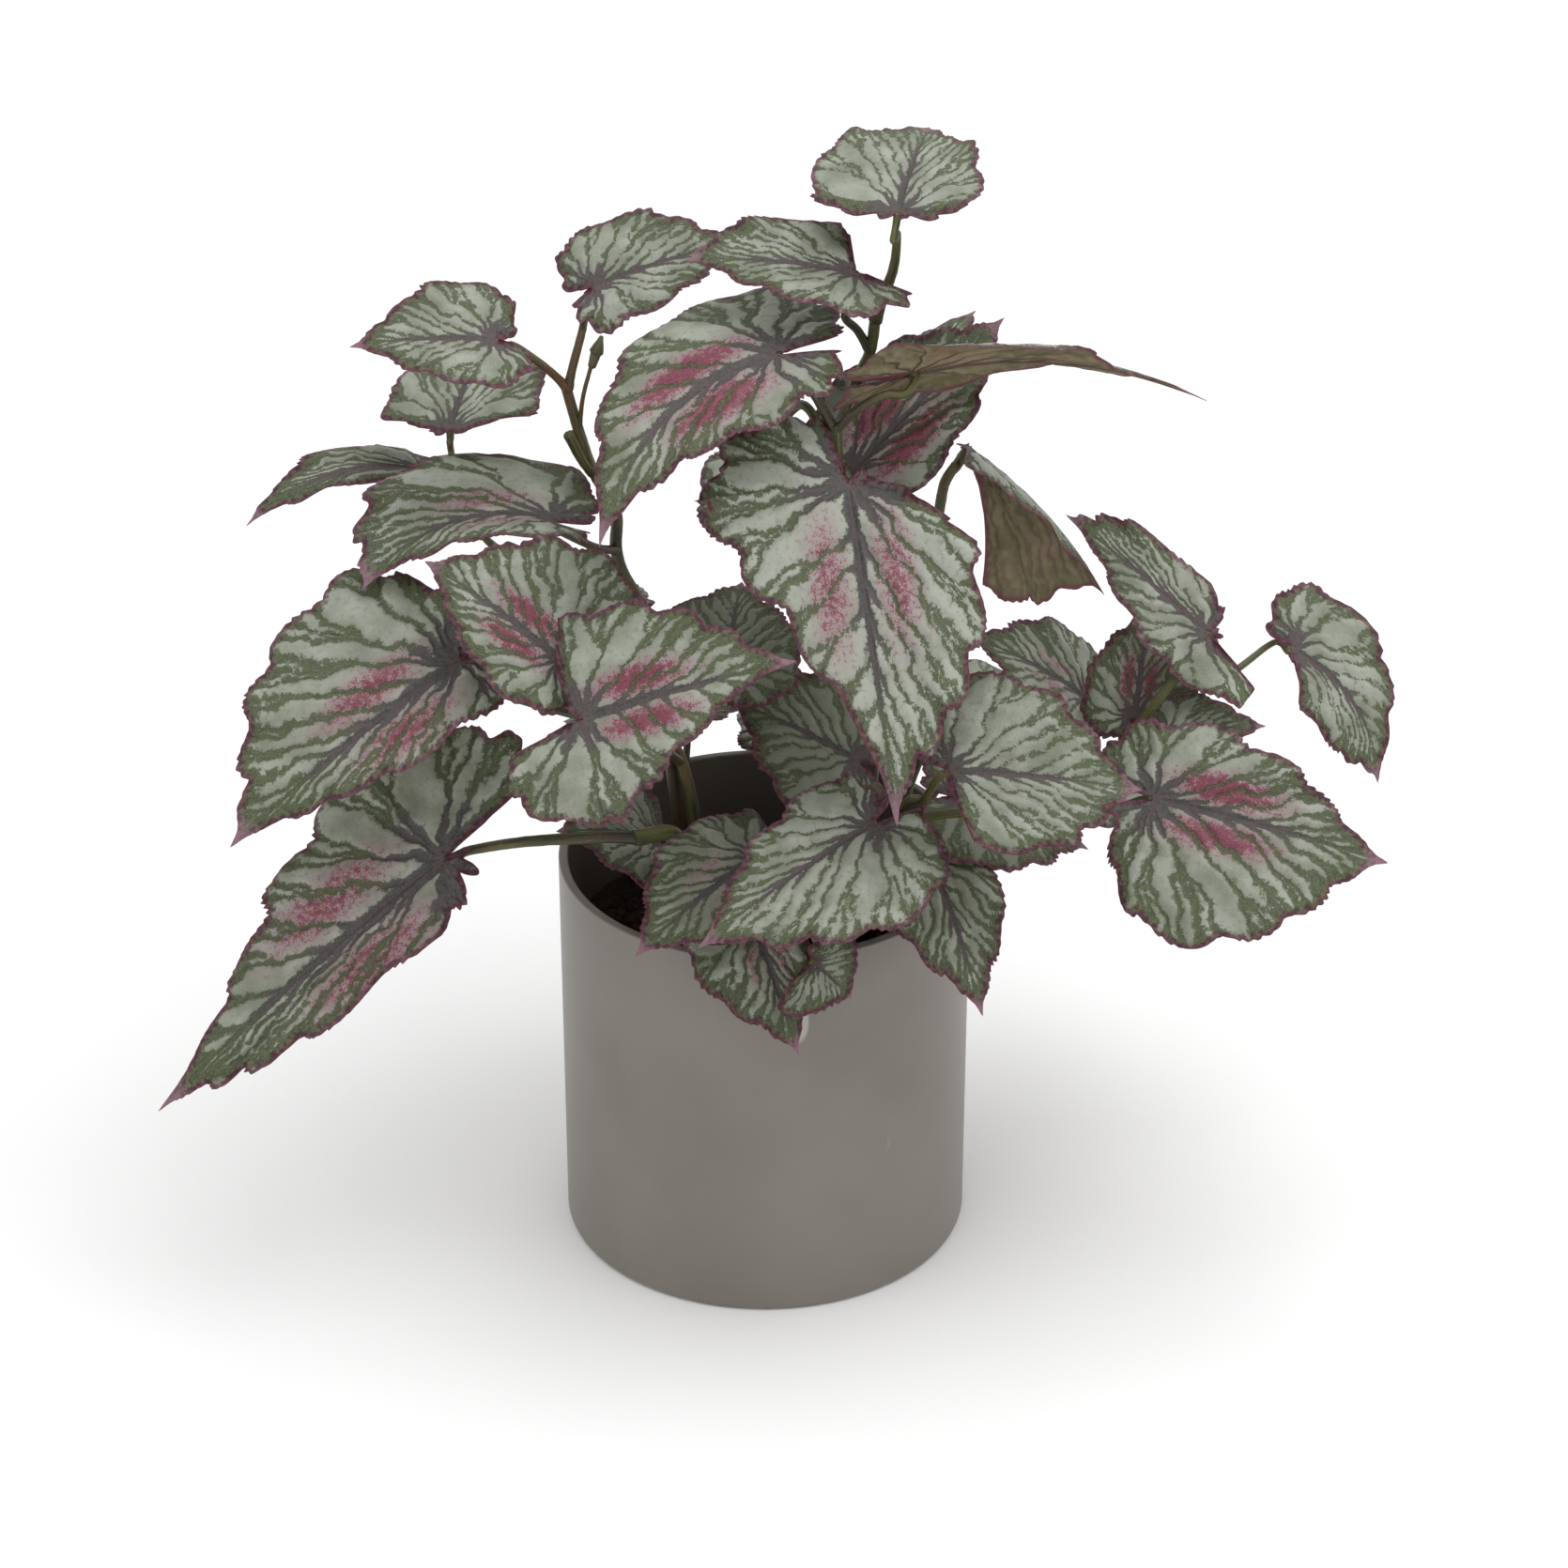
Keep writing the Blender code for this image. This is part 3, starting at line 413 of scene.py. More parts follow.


# Low pale values paint shade on the silver of leaves that lie in shade; high ones paint light on lit leaves.
LEAVES = {
    "leaf_left_1": Leaf((-67, 35, 412), (-6, 45, 427), (0, -0.5, 0.8), (27, 21), lobes=(0.7, 0.6),
                        green=0.7),
    "leaf_left_2": Leaf((-105, -10, 410), (-161, -20, 412), (0, -0.5, 0.85), (22, 27),
                        lobes=(0.9, 0.6), green=0.75),
    "leaf_left_3": Leaf((-126, 28, 352), (-117, 93, 351), (0, -0.1, 1), (28, 38), lobes=(0.2, 0.2),
                        fold=(20, 30), reach=(9, 1)),
    "leaf_left_4": Leaf((-138, 40, 327), (-208, 10, 318), (0, -0.25, 1), (10, 15), lobes=(0.5, 0.5),
                        slim=(0.8, 0.7), bend=75),
    "leaf_left_5": Leaf((-84, 0, 325), (-158, -40, 316), (0, -0.5, 0.86), (27, 36),
                        lobes=(0.6, 0.6), slim=(1, 0.6), sweep=65, fold=(35, 5), cup=(0, -20),
                        teeth=14, flush=0.55),
    "leaf_left_6": Leaf((-75, 50, 258), (-133, 110, 239), (-0.5, 0.5, 0.7), (34, 30)),
    "leaf_left_7": Leaf((-37, 60, 203), (-88, 130, 145), (-0.3, 0.6, 0.7), (30, 30)),
    "leaf_centre_1": Leaf((52, 0, 460), (66, 80, 461), (0.05, -0.1, 1), (36, 30), lobes=(0.3, 0.3),
                          slim=(0.7, 0.95), bend=20, fold=(14, 26), teeth=14, green=0.7),
    "leaf_centre_2": Leaf((36, 0, 434), (-31, 10, 435), (0, -0.45, 0.9), (19, 22),
                          lobes=(1.2, 0.05), slim=(1, 0.7), lean=(0, 0.12), green=0.7),
    "leaf_centre_3": Leaf((5, -19, 408), (-63, -85, 358), (-0.2, -0.75, 0.63), (27, 50),
                          lobes=(0.8, 0.9), slim=(1, 1.6), sweep=60, fold=(12, -10), cup=(-20, -25),
                          teeth=14, seat=(1.2, 0), flush=1.0),
    "leaf_centre_4": Leaf((59, -8, 395), (175, 0, 379), (0, 0.743, 0.669), (26, 26),
                          lobes=(0.9, 0.9), bend=40, twist=30, teeth=14),
    "leaf_centre_5": Leaf((35, 5, 345), (96, 40, 396), (0.1, -0.8, 0.6), (28, 23), lobes=(0.2, 0.1),
                          slim=(0.8, 0.8), teeth=14, seat=(1.3, 0), flush=1.0),
    "leaf_centre_6": Leaf((33, -35, 360), (52, -115, 251), (0.02, -0.83, 0.55), (45, 58),
                          lobes=(0.2, 0.8), slim=(1.25, 2.3), lean=(0.22, 0), teeth=16, green=0.72,
                          flush=0.6, pale=0.7),
    "leaf_centre_7": Leaf((-17, 60, 343), (-31, 110, 349), (-0.2, 0.7, 0.7), (32, 30),
                          reach=(14, 6)),
    "leaf_centre_8": Leaf((56, 60, 348), (87, 110, 366), (0.2, 0.65, 0.7), (28, 28)),
    "leaf_centre_9": Leaf((6, 100, 278), (8, 170, 289), (-0.05, 0.6, 0.8), (34, 34)),
    "leaf_centre_10": Leaf((40, 52, 260), (50, 116, 260), (0.3, 0.6, 0.75), (22, 26)),
    "leaf_centre_11": Leaf((-16, -20, 266), (-9, 30, 282), (0, -0.3, 0.95), (36, 30), pale=0.2),
    "leaf_centre_12": Leaf((26, 60, 190), (18, 150, 153), (0, 0.6, 0.8), (36, 34)),
    "leaf_right_1": Leaf((82, 11, 353), (137, 0, 292), (0.75, 0, 0.65), (38, 24), lobes=(0, 0.2),
                         slim=(1.5, 1), lean=(0.6, 0), fold=(-88, 12), cup=(0, -10),
                         seat=(0.4, -4.5), reach=(9, 0), pale=0.6),
    "leaf_right_2": Leaf((177, -20, 285), (121, 10, 323), (0, -0.7, 0.7), (21, 16),
                         lobes=(1.6, 0.3), slim=(1.5, 0.7), lean=(0, 0.15), green=0.7),
    "leaf_right_3": Leaf((213, 0, 267), (249, -20, 216), (0.3, -0.7, 0.7), (30, 20),
                         lobes=(0.6, 0.1), slim=(1.4, 0.9), lean=(0, 0.25), sweep=-60, green=0.65),
    "leaf_right_4": Leaf((150, -14, 244), (156, 10, 284), (0, -0.5, 0.85), (22, 24),
                         lobes=(0.8, 0.9), flush=0.9),
    "leaf_right_5": Leaf((160, -34, 245), (202, -26, 246), (0, -0.5, 0.85), (18, 14),
                         lobes=(0.2, 1)),
    "leaf_right_6": Leaf((131, 0, 243), (82, -5, 276), (0, -0.3, 0.9), (30, 30), lobes=(0.5, 0.9),
                         flush=0.45),
    "leaf_right_7": Leaf((88, 50, 209), (140, 130, 173), (0.4, 0.5, 0.75), (36, 32)),
    "leaf_right_8": Leaf((131, 30, 175), (206, 80, 151), (0.3, 0.5, 0.8), (36, 32), reach=(10, 6)),
    "leaf_front_right_1": Leaf((73, -90, 262), (148, -100, 259), (0, -0.7, 0.7), (40, 31),
                               lobes=(0.7, 0.1), lean=(0, 0.2), teeth=14, seat=(1.3, 0),
                               green=0.62),
    "leaf_front_right_2": Leaf((155, -60, 232), (248, -80, 214), (0, -0.75, 0.65), (33, 53),
                               lobes=(0.9, 0.6), slim=(1, 1.05), lean=(0, 0.12), teeth=14,
                               flush=0.95),
    "leaf_front_right_3": Leaf((43, -80, 232), (-26, -120, 199), (0, -0.6, 0.8), (41, 25),
                               lobes=(0.8, 0.4), teeth=14, green=0.65),
    "leaf_front_right_4": Leaf((66, -60, 205), (87, -110, 161), (0.2, -0.7, 0.7), (24, 26),
                               lobes=(0.45, 0.5)),
    "leaf_front_right_5": Leaf((38, -20, 226), (-14, -10, 249), (0, -0.5, 0.85), (36, 35),
                               lobes=(1, 0.6), pale=0.25),
    "leaf_front_right_6": Leaf((78, -34, 217), (132, -27, 189), (0, -0.3, 0.95), (26, 34),
                               lobes=(0.9, 0.9), green=0.9, pale=0.15),
    "leaf_front_left_1": Leaf((-120, -50, 289), (-210, -95, 230), (-0.3, -0.75, 0.6), (24, 56),
                              lobes=(0.6, 0.5), lean=(0, 0.08), teeth=16, flush=0.7),
    "leaf_front_left_2": Leaf((-129, -55, 201), (-245, -95, 106), (-0.3, -0.75, 0.55), (24, 50),
                              lobes=(0.3, 1.2), slim=(0.9, 1.8), lean=(0.12, 0), teeth=16,
                              flush=0.65),
    "leaf_front_left_3": Leaf((-79, -70, 300), (-133, -45, 331), (0, -0.6, 0.8), (25, 44),
                              lobes=(0.8, 1.6), teeth=14, flush=0.95),
    "leaf_front_left_4": Leaf((-70, -95, 288), (13, -90, 311), (0, -0.7, 0.7), (40, 44),
                              lobes=(0.2, 1.5), slim=(1, 2.2), teeth=16, flush=0.9),
    "leaf_front_left_5": Leaf((-43, -22, 190), (-84, -38, 204), (0, -0.3, 0.95), (34, 34),
                              lobes=(0.3, 0.4)),
    "leaf_front_left_6": Leaf((-3, -55, 201), (-51, -110, 189), (0, -0.4, 0.9), (36, 30), flush=0.4,
                              pale=0.35),
    "leaf_front_left_7": Leaf((-5, -72, 186), (14, -109, 142), (0, -0.7, 0.7), (18, 30),
                              lobes=(0.7, 1), flush=0.5),
    "leaf_front_left_8": Leaf((20, -94, 176), (35, -98, 162), (0.1, -0.7, 0.7), (18, 24),
                              lobes=(1, 0.4), reach=(5, -4), green=0.8),
}

# The first stalk of each group is the one that the others grow from or stand against.
STEMS = {
    "left": [
        Petiole((3.4, 2.1), [(-30, 16, 124), (-44, 20, 252), (-59, 25, 293), (-60, 27, 315),
                             (-69, 27, 334), (-74, 22, 354), (-79, 18, 377)]),
        Petiole((1.8, 1.4), [(-78, 18, 375), (-76, 19, 384), (-72, 25, 398)], "leaf_left_1"),
        Petiole((1.8, 1.4), [(-78, 18, 375), (-83, 14, 383), (-91, 3, 396), (-99, -6, 406)],
                "leaf_left_2"),
        Petiole((1.8, 1.3), [(-60, 25, 293), (-83, 48, 281), (-110, 58, 282), (-124, 54, 308)],
                "leaf_left_3"),
        Petiole((1.8, 1.3), [(-60, 25, 288), (-83, 48, 277), (-106, 64, 276), (-129, 62, 300)],
                "leaf_left_4"),
        Petiole((1.8, 1.5), [(-60, 25, 299), (-68, 14, 306)], "leaf_left_5"),
        Petiole((1.8, 1.4), [(-46, 18, 259), (-57, 34, 257)], "leaf_left_6"),
        Petiole((1.8, 1.4), [(-33, 17, 150), (-34, 38, 178)], "leaf_left_7"),
        Petiole((1.0, 0.8), [(-74, 22, 353), (-72, 16, 372), (-68, 13, 389)]),
        Petiole((1.2, 2.4), [(-68, 12, 388), (-66, 12, 395)]),
        Petiole((2.4, 0.8), [(-66, 12, 394.5), (-64, 12, 401)]),
        Petiole((1.8, 2.4), [(-69, 27, 333), (-73, 23, 341), (-78, 20, 354)]),
    ],
    "centre": [
        Petiole((3.6, 2.6), [(14, 22, 124), (27, 20, 235), (29, 6, 286), (30, -8, 327),
                             (29, -14, 355), (28, -15, 376)]),
        Petiole((2.2, 2.2), [(28, -15, 373), (33, 2, 377), (37, 7, 385), (42, 9, 396), (44, 10, 410)]),
        Petiole((2.4, 1.3), [(44, 10, 409), (47, 11, 419), (51, 8, 433), (52, 1, 450)], "leaf_centre_1"),
        Petiole((1.8, 1.4), [(42, 9, 396), (37, 9, 405), (32, 7, 413)], "leaf_centre_2"),
        Petiole((2.0, 1.5), [(28, -15, 373), (20, -14, 388), (13, -10, 395)], "leaf_centre_3"),
        Petiole((1.8, 1.5), [(28, -15, 373), (36, -18, 383), (47, -18, 390)], "leaf_centre_4"),
        Petiole((1.9, 1.6), [(29, -2, 307), (32, 2, 322)], "leaf_centre_5"),
        Petiole((2.2, 1.8), [(29, 8, 280), (31, -10, 316)], "leaf_centre_6"),
        Petiole((2.0, 1.6), [(29, -12, 346), (25, -8, 363), (15, 4, 375), (1, 34, 345)],
                "leaf_centre_7"),
        Petiole((1.8, 1.4), [(29, 8, 280), (35, 30, 295), (47, 50, 323)], "leaf_centre_8"),
        Petiole((1.8, 1.4), [(27, 20, 235), (22, 50, 245), (12, 84, 262)], "leaf_centre_9"),
        Petiole((1.8, 1.4), [(28, 17, 246), (32, 35, 252)], "leaf_centre_10"),
        Petiole((1.8, 1.4), [(28, 15, 255), (10, 4, 265)], "leaf_centre_11"),
        Petiole((2.0, 1.5), [(15, 24, 134), (21, 44, 179)], "leaf_centre_12"),
    ],
    "right": [
        Petiole((3.0, 2.0), [(44, 8, 124), (45, 10, 214), (59, 10, 258), (67, 8, 302), (70, 4, 327),
                             (72, 2, 341), (76, 3, 348)], "leaf_right_1"),
        Petiole((2.4, 1.8), [(46, 6, 125), (72, 4, 202), (106, 4, 208), (134, -6, 215),
                             (148, -28, 243), (163, -27, 266)], "leaf_right_2"),
        Petiole((1.8, 1.2), [(160, -27, 262), (175, -18, 260), (190, -4, 259)], "leaf_right_3"),
        Petiole((1.6, 1.4), [(134, -6, 215), (144, -8, 224)], "leaf_right_4"),
        Petiole((1.6, 1.4), [(131, -5, 214), (144, -26, 227)], "leaf_right_5"),
        Petiole((1.6, 1.4), [(95, 5, 206), (114, 6, 218)], "leaf_right_6"),
        Petiole((1.8, 1.4), [(45, 7, 140), (66, 30, 202)], "leaf_right_7"),
        Petiole((1.8, 1.4), [(72, 4, 202), (91, 10, 184), (110, 20, 166)], "leaf_right_8"),
    ],
    "front_right": [
        Petiole((2.6, 1.6), [(34, -34, 124), (53, -44, 210), (64, -62, 233)], "leaf_front_right_1"),
        Petiole((2.4, 1.6), [(36, -35, 125), (43, -46, 196), (58, -56, 219), (92, -64, 229),
                             (111, -62, 226), (134, -50, 219)], "leaf_front_right_2"),
        Petiole((2.2, 1.6), [(32, -36, 126), (35, -58, 207)], "leaf_front_right_3"),
        Petiole((2.0, 1.5), [(36, -36, 127), (54, -42, 187)], "leaf_front_right_4"),
        Petiole((2.0, 1.5), [(32, -32, 128), (39, -22, 201)], "leaf_front_right_5"),
        Petiole((2.0, 1.5), [(36, -33, 128), (55, -38, 213)], "leaf_front_right_6"),
    ],
    "front_left": [
        Petiole((3.0, 2.2), [(-25, -24, 124), (-28, -20, 193), (-32, -22, 222), (-37, -24, 238)]),
        Petiole((1.9, 1.6), [(-37, -24, 237), (-66, -26, 248), (-106, -32, 265)], "leaf_front_left_1"),
        Petiole((2.8, 3.4), [(-26, -29, 125), (-28, -36, 178), (-36, -40, 203), (-52, -47, 206)]),
        Petiole((2.6, 1.8), [(-50, -45, 205), (-66, -48, 207), (-96, -50, 206), (-117, -46, 200)],
                "leaf_front_left_2"),
        Petiole((1.8, 1.6), [(-36, -23, 233), (-47, -34, 254), (-57, -46, 271)], "leaf_front_left_3"),
        Petiole((1.8, 1.6), [(-34, -23, 228), (-44, -54, 254), (-58, -74, 268)], "leaf_front_left_4"),
        Petiole((1.8, 1.5), [(-26, -26, 140), (-35, -20, 185)], "leaf_front_left_5"),
        Petiole((2.0, 1.6), [(-23, -28, 126), (-9, -44, 190)], "leaf_front_left_6"),
        Petiole((2.0, 1.6), [(-22, -28, 127), (-9, -52, 179)], "leaf_front_left_7"),
        Petiole((2.0, 1.5), [(-21, -28, 128), (12, -56, 172), (28, -76, 184)], "leaf_front_left_8"),
    ],
}


# The stems
#
# Fleshy round petioles that rise from five clumps in the soil and arch out, forking where leaves leave
# them. They are dark olive brown, greener where young, with a red flush, fine furrows and small warts,
# and swell a little at the soil, at each fork and under each blade.

STALK_STEPS = 9
STALK_SIDES = 18
END_STEPS = 5
PULVINUS = 0.35
PULVINUS_LENGTH = 5.0
SWOLLEN_FOOT = 0.45
LAST_RISE = 2.5
LAST_LEAN = 0.4
INTO_BLADE = 0.9


def unit(vector):
    """The vector at length 1."""
    vector = np.asarray(vector, float)
    return vector / np.linalg.norm(vector, axis=-1, keepdims=True)


def smooth_line(points, steps):
    """A smooth curve through the points, with this many steps from each point to the next."""
    points = np.asarray(points, float)
    line = np.vstack([2 * points[0] - points[1], points, 2 * points[-1] - points[-2]])
    t = np.arange(steps)[:, None] / steps
    spans = []
    for a, b, c, d in zip(line[:-3], line[1:-2], line[2:-1], line[3:]):
        spans.append(0.5 * (2 * b + (c - a) * t + (2 * a - 5 * b + 4 * c - d) * t**2
                            + (3 * b - a - 3 * c + d) * t**3))
    return np.vstack(spans + [points[-1:]])


def leaf_axes(leaf):
    """Rows: along the blade from base to tip, to its left, and out of its upper face. And its length."""
    span = np.subtract(leaf.tip, leaf.base)
    along = unit(span)
    up = unit(leaf.face)
    up = unit(up - (up @ along) * along)
    return np.stack([along, np.cross(up, along), up]), np.linalg.norm(span)


def midrib(leaf):
    """The drooping, turning midrib of a blade of length 1, from behind its base to its tip.

    It gives the marks u along it, where 0 is the base and 1 the tip, and for each the point, the
    sideways direction and the upward one, in the leaf's own axes.
    """
    u = np.linspace(-0.4, 1.0, 141)
    down = -math.radians(leaf.bend) * np.clip(u, 0, 1)
    turn = math.radians(leaf.sweep) * u
    ahead = np.stack([np.cos(down) * np.cos(turn), np.cos(down) * np.sin(turn), np.sin(down)], 1)
    upward = np.stack([-np.sin(down) * np.cos(turn), -np.sin(down) * np.sin(turn), np.cos(down)], 1)
    line = np.vstack([np.zeros(3), np.cumsum((ahead[1:] + ahead[:-1]) / 2 * (u[1] - u[0]), axis=0)])
    line -= line[np.argmin(abs(u))]
    chord = line[-1]
    first = unit(chord)
    third = unit(np.array([0, 0, 1.0]) - first[2] * first)
    axes = np.stack([first, np.cross(third, first), third])
    ahead = ahead @ axes.T
    upward = upward @ axes.T
    return u, line @ axes.T / np.linalg.norm(chord), np.cross(upward, ahead), upward


def petiole_end(leaf):
    """The last points of a petiole, which comes up from below and behind and runs just into its blade."""
    axes, _ = leaf_axes(leaf)
    u, _, _, upward = midrib(leaf)
    along, side, _ = axes
    up = upward[np.argmin(abs(u))] @ axes
    drop, aside = leaf.seat
    below, behind = leaf.reach
    end = np.array(leaf.base) - up * drop + side * aside
    return [end - up * below - along * behind, end - up * LAST_RISE - along * LAST_LEAN, end + up * INTO_BLADE]


def steady_frame(line):
    """The tangent at each point of a line and two directions across it that turn smoothly."""
    tangent = unit(np.gradient(line, axis=0))
    choices = unit(np.array([[1, 0, 0], [0, 1, 0], [0, 0, 1], [1, 1, 0], [1, -1, 0], [1, 0, 1], [1, 0, -1],
                             [0, 1, 1], [0, 1, -1]]))
    reference = choices[np.argmin(np.abs(choices @ tangent.T).max(1))]
    across = unit(np.cross(tangent, reference))
    return across, np.cross(across, tangent)


def stalk(petiole, seed):
    """One petiole as a closed tube: a ring about each point of its line, and a rounded end at each pole.

    The ring's radius thins along the line, swells at the foot and under the blade, and is furrowed
    along the stalk with small warts.
    """
    points = list(petiole.points)
    if petiole.leaf:
        points += petiole_end(LEAVES[petiole.leaf])
    line = smooth_line(points, STALK_STEPS)
    run = np.r_[0, np.cumsum(np.linalg.norm(np.diff(line, axis=0), axis=1))]
    left = run[-1] - run
    radius = petiole.radii[0] + (petiole.radii[1] - petiole.radii[0]) * run / run[-1]
    radius = radius + SWOLLEN_FOOT * np.exp(-(run / 4) ** 2)
    if petiole.leaf:
        radius = radius + PULVINUS * np.exp(-(left / PULVINUS_LENGTH) ** 2)
    across, other = steady_frame(line)
    angle = np.arange(STALK_SIDES) / STALK_SIDES * 2 * np.pi
    draws = np.random.default_rng(seed)
    furrow = 0.035 * np.cos(5 * angle + draws.uniform(0, 6))[None] + 0.02 * np.cos(9 * angle)[None]
    wart = draws.normal(0, 0.018, (len(line), STALK_SIDES))
    ring_radius = radius[:, None] * (1 + furrow + wart)
    rings = (line[:, None] + ring_radius[..., None] * (np.cos(angle)[None, :, None] * across[:, None]
                                                       + np.sin(angle)[None, :, None] * other[:, None]))
    bend = np.linspace(0, np.pi / 2, END_STEPS + 1)[1:-1, None, None]
    first = line[0] + (rings[0] - line[0]) * np.cos(bend) - unit(line[1] - line[0]) * radius[0] * 0.5 * np.sin(bend)
    last = line[-1] + (rings[-1] - line[-1]) * np.cos(bend) + unit(line[-1] - line[-2]) * 0.2 * np.sin(bend)
    poles = line[0] - unit(line[1] - line[0]) * radius[0] * 0.5, line[-1] + unit(line[-1] - line[-2]) * 0.2
    rings = np.concatenate([first[::-1], rings, last])
    cloud = np.vstack([poles[0][None], rings.reshape(-1, 3), poles[1][None]])
    along = np.r_[np.zeros(END_STEPS - 1), run, np.full(END_STEPS - 1, run[-1])]
    ripe = np.r_[0, np.repeat(along, STALK_SIDES), run[-1]] / run[-1]
    around = np.r_[0, np.tile(angle, len(rings)), 0]
    return cloud, turned_faces(len(rings), STALK_SIDES), ripe, around


def stalk_skin():
    """Olive to brown skin, redder on one side, streaked along its length."""
    skin = Skin("Petiole skin")
    where = skin.node("ShaderNodeTexCoord", {}, output="Object")
    streak_place = skin.reading("along", "Vector")
    streak = skin.noise(streak_place, 1.0, 3.0)
    speck = skin.noise(where, 900.0, 2.0)
    broad = skin.noise(where, 25.0, 2.0)
    young = skin.reading("young")
    brown = skin.mix(streak.step(0.35, 0.65), srgb(40, 30, 24), srgb(70, 58, 42))
    olive = skin.mix(streak.step(0.3, 0.7), srgb(50, 54, 28), srgb(92, 92, 50))
    colour = skin.mix((young + broad - 0.5).step(0.2, 0.8), brown, olive)
    blush = (broad * 0.8 + streak * 0.5).step(0.70, 0.86) * 0.55
    colour = skin.mix(blush, colour, srgb(96, 40, 34))
    colour = skin.mix(speck.step(0.62, 0.72) * 0.35, colour, srgb(122, 108, 84))
    return skin.finish(colour, 0.48, speck, 0.00025)


def make_stems(name, petioles, skin, first_seed):
    """The petioles of one clump, each a closed tube that starts inside the one that it leaves."""
    clouds, quads, poles, along, young = [], [], [], [], []
    start = 0
    for number, petiole in enumerate(petioles):
        cloud, (sides, ends), ripe, around = stalk(petiole, first_seed + number)
        clouds.append(cloud)
        quads.append(sides + start)
        poles.append(ends + start)
        length = np.linalg.norm(np.diff(np.asarray(petiole.points, float), axis=0), axis=1).sum()
        along.append(np.stack([ripe * length * 0.04, np.sin(around) * 1.6, np.cos(around) * 1.6 + number], -1))
        young.append(np.clip(0.25 + 0.5 * ripe + (0.1 if number else -0.1), 0, 1))
        start += len(cloud)
    mesh = surface_mesh(name, np.vstack(clouds) * MM, [np.vstack(quads), np.vstack(poles)], [skin])
    carry(mesh, "along", np.vstack(along))
    carry(mesh, "young", np.concatenate(young))
    place(name, mesh, ["stem_" + name.lower().removesuffix("_stems")], "petiole")


petiole_skin = stalk_skin()
for stem_number, (clump, petioles) in enumerate(STEMS.items()):
    make_stems(clump.capitalize() + "_stems", petioles, petiole_skin, 100 * (stem_number + 1))

# The leaves
#
# Thin, brittle-looking blades with one half larger than the other. Both halves are quilted between veins
# that fan out from the base, fork, and run to a toothed, waved margin. The upper skin is silver grey-green
# under a net of dark green, with a dark centre, crimson beside the midrib, and a maroon edge. The underside
# is olive brown with dark raised veins.

BLADE_THIN = 0.55
WAVE = 0.019
RIPPLE = 0.009
TOOTH = 0.018
OUTLINE_STEPS = 24
# One half's edge from the tip round to the notch at the base, as (along the midrib, across it)
ONE_HALF = ((1.0, 0.0), (0.90, 0.10), (0.74, 0.40), (0.50, 0.80), (0.20, 1.0),
            (-0.06, 0.93), (-0.24, 0.62), (-0.25, 0.14), (-0.05, 0.01))
FINE_TOOTH = 2.0
FINE_PITCH = 3.7
BROAD = 1.5
# Where the veins of one half end on its edge, from the tip, 0, to the notch, 1
FAN_ENDS = (0.35, 0.46, 0.565, 0.67, 0.78, 0.90)
RIB_STARTS = (0.12, 0.25, 0.38, 0.51, 0.64, 0.77)
RIB_ENDS = (0.275, 0.22, 0.165, 0.115, 0.075, 0.04)
FORK = 0.034
VEIN_STEPS = 7
# How far the veins wander, and over what length, in millimetres
WANDER = ((1.7, 27.0), (0.9, 11.0), (0.4, 5.0))


def edge_at(leaf, mark, length):
    """The edge as (u, v) in lengths of the blade, at marks from -teeth (left notch) to teeth (right notch).

    It is the shared outline, evenly spaced, with each half's own width, lobe and fullness.
    """
    curve = smooth_line(ONE_HALF, OUTLINE_STEPS)
    run = np.r_[0, np.cumsum(np.linalg.norm(np.diff(curve, axis=0), axis=1))]
    share = np.abs(mark) / leaf.teeth * run[-1]
    left = mark <= 0
    u = np.interp(share, run, curve[:, 0])
    u = np.where(u < 0, u * np.where(left, *leaf.lobes), u)
    u = np.where(u > 0, np.abs(u) ** np.where(left, *leaf.slim), u)
    width = np.interp(share, run, curve[:, 1])
    u = u + np.where(left, *leaf.lean) * width
    v = width * np.where(left, *leaf.half) / length * np.where(left, 1, -1)
    return np.stack([u, v], -1)


def toothed(leaf, mark, edge, length, draws):
    """The edge with its broad teeth, which lean to the tip, and fine ones, pushed out from the base."""
    outward = unit(edge + 1e-9)
    size = np.abs(mark)
    lean = size + 0.12 * np.sin(np.pi * size)
    strong = np.interp(mark, np.arange(-leaf.teeth, leaf.teeth + 1), draws.uniform(0.6, 1.4, 2 * leaf.teeth + 1))
    broad = BROAD * TOOTH * (0.2 - 0.8 * np.cos(np.pi * lean)) * strong * np.clip(size / 2, 0, 1)
    run = np.r_[0, np.cumsum(np.linalg.norm(np.diff(edge, axis=0), axis=1))] * length
    phase = run / FINE_PITCH + 0.9 * np.sin(run / 9.0 + draws.uniform(0, 6))
    ramp = np.abs(phase % 1.0 - 0.35) / 0.65
    ragged = 0.65 + 0.45 * np.sin(run / 5.7 + draws.uniform(0, 6))
    fine = FINE_TOOTH / length * (0.5 - np.clip(ramp, 0, 1)) * ragged * np.clip(size / 1.5, 0, 1)
    fade = np.clip(leaf.teeth - size, 0, 1)
    return edge + outward * ((broad + fine) * fade)[:, None]


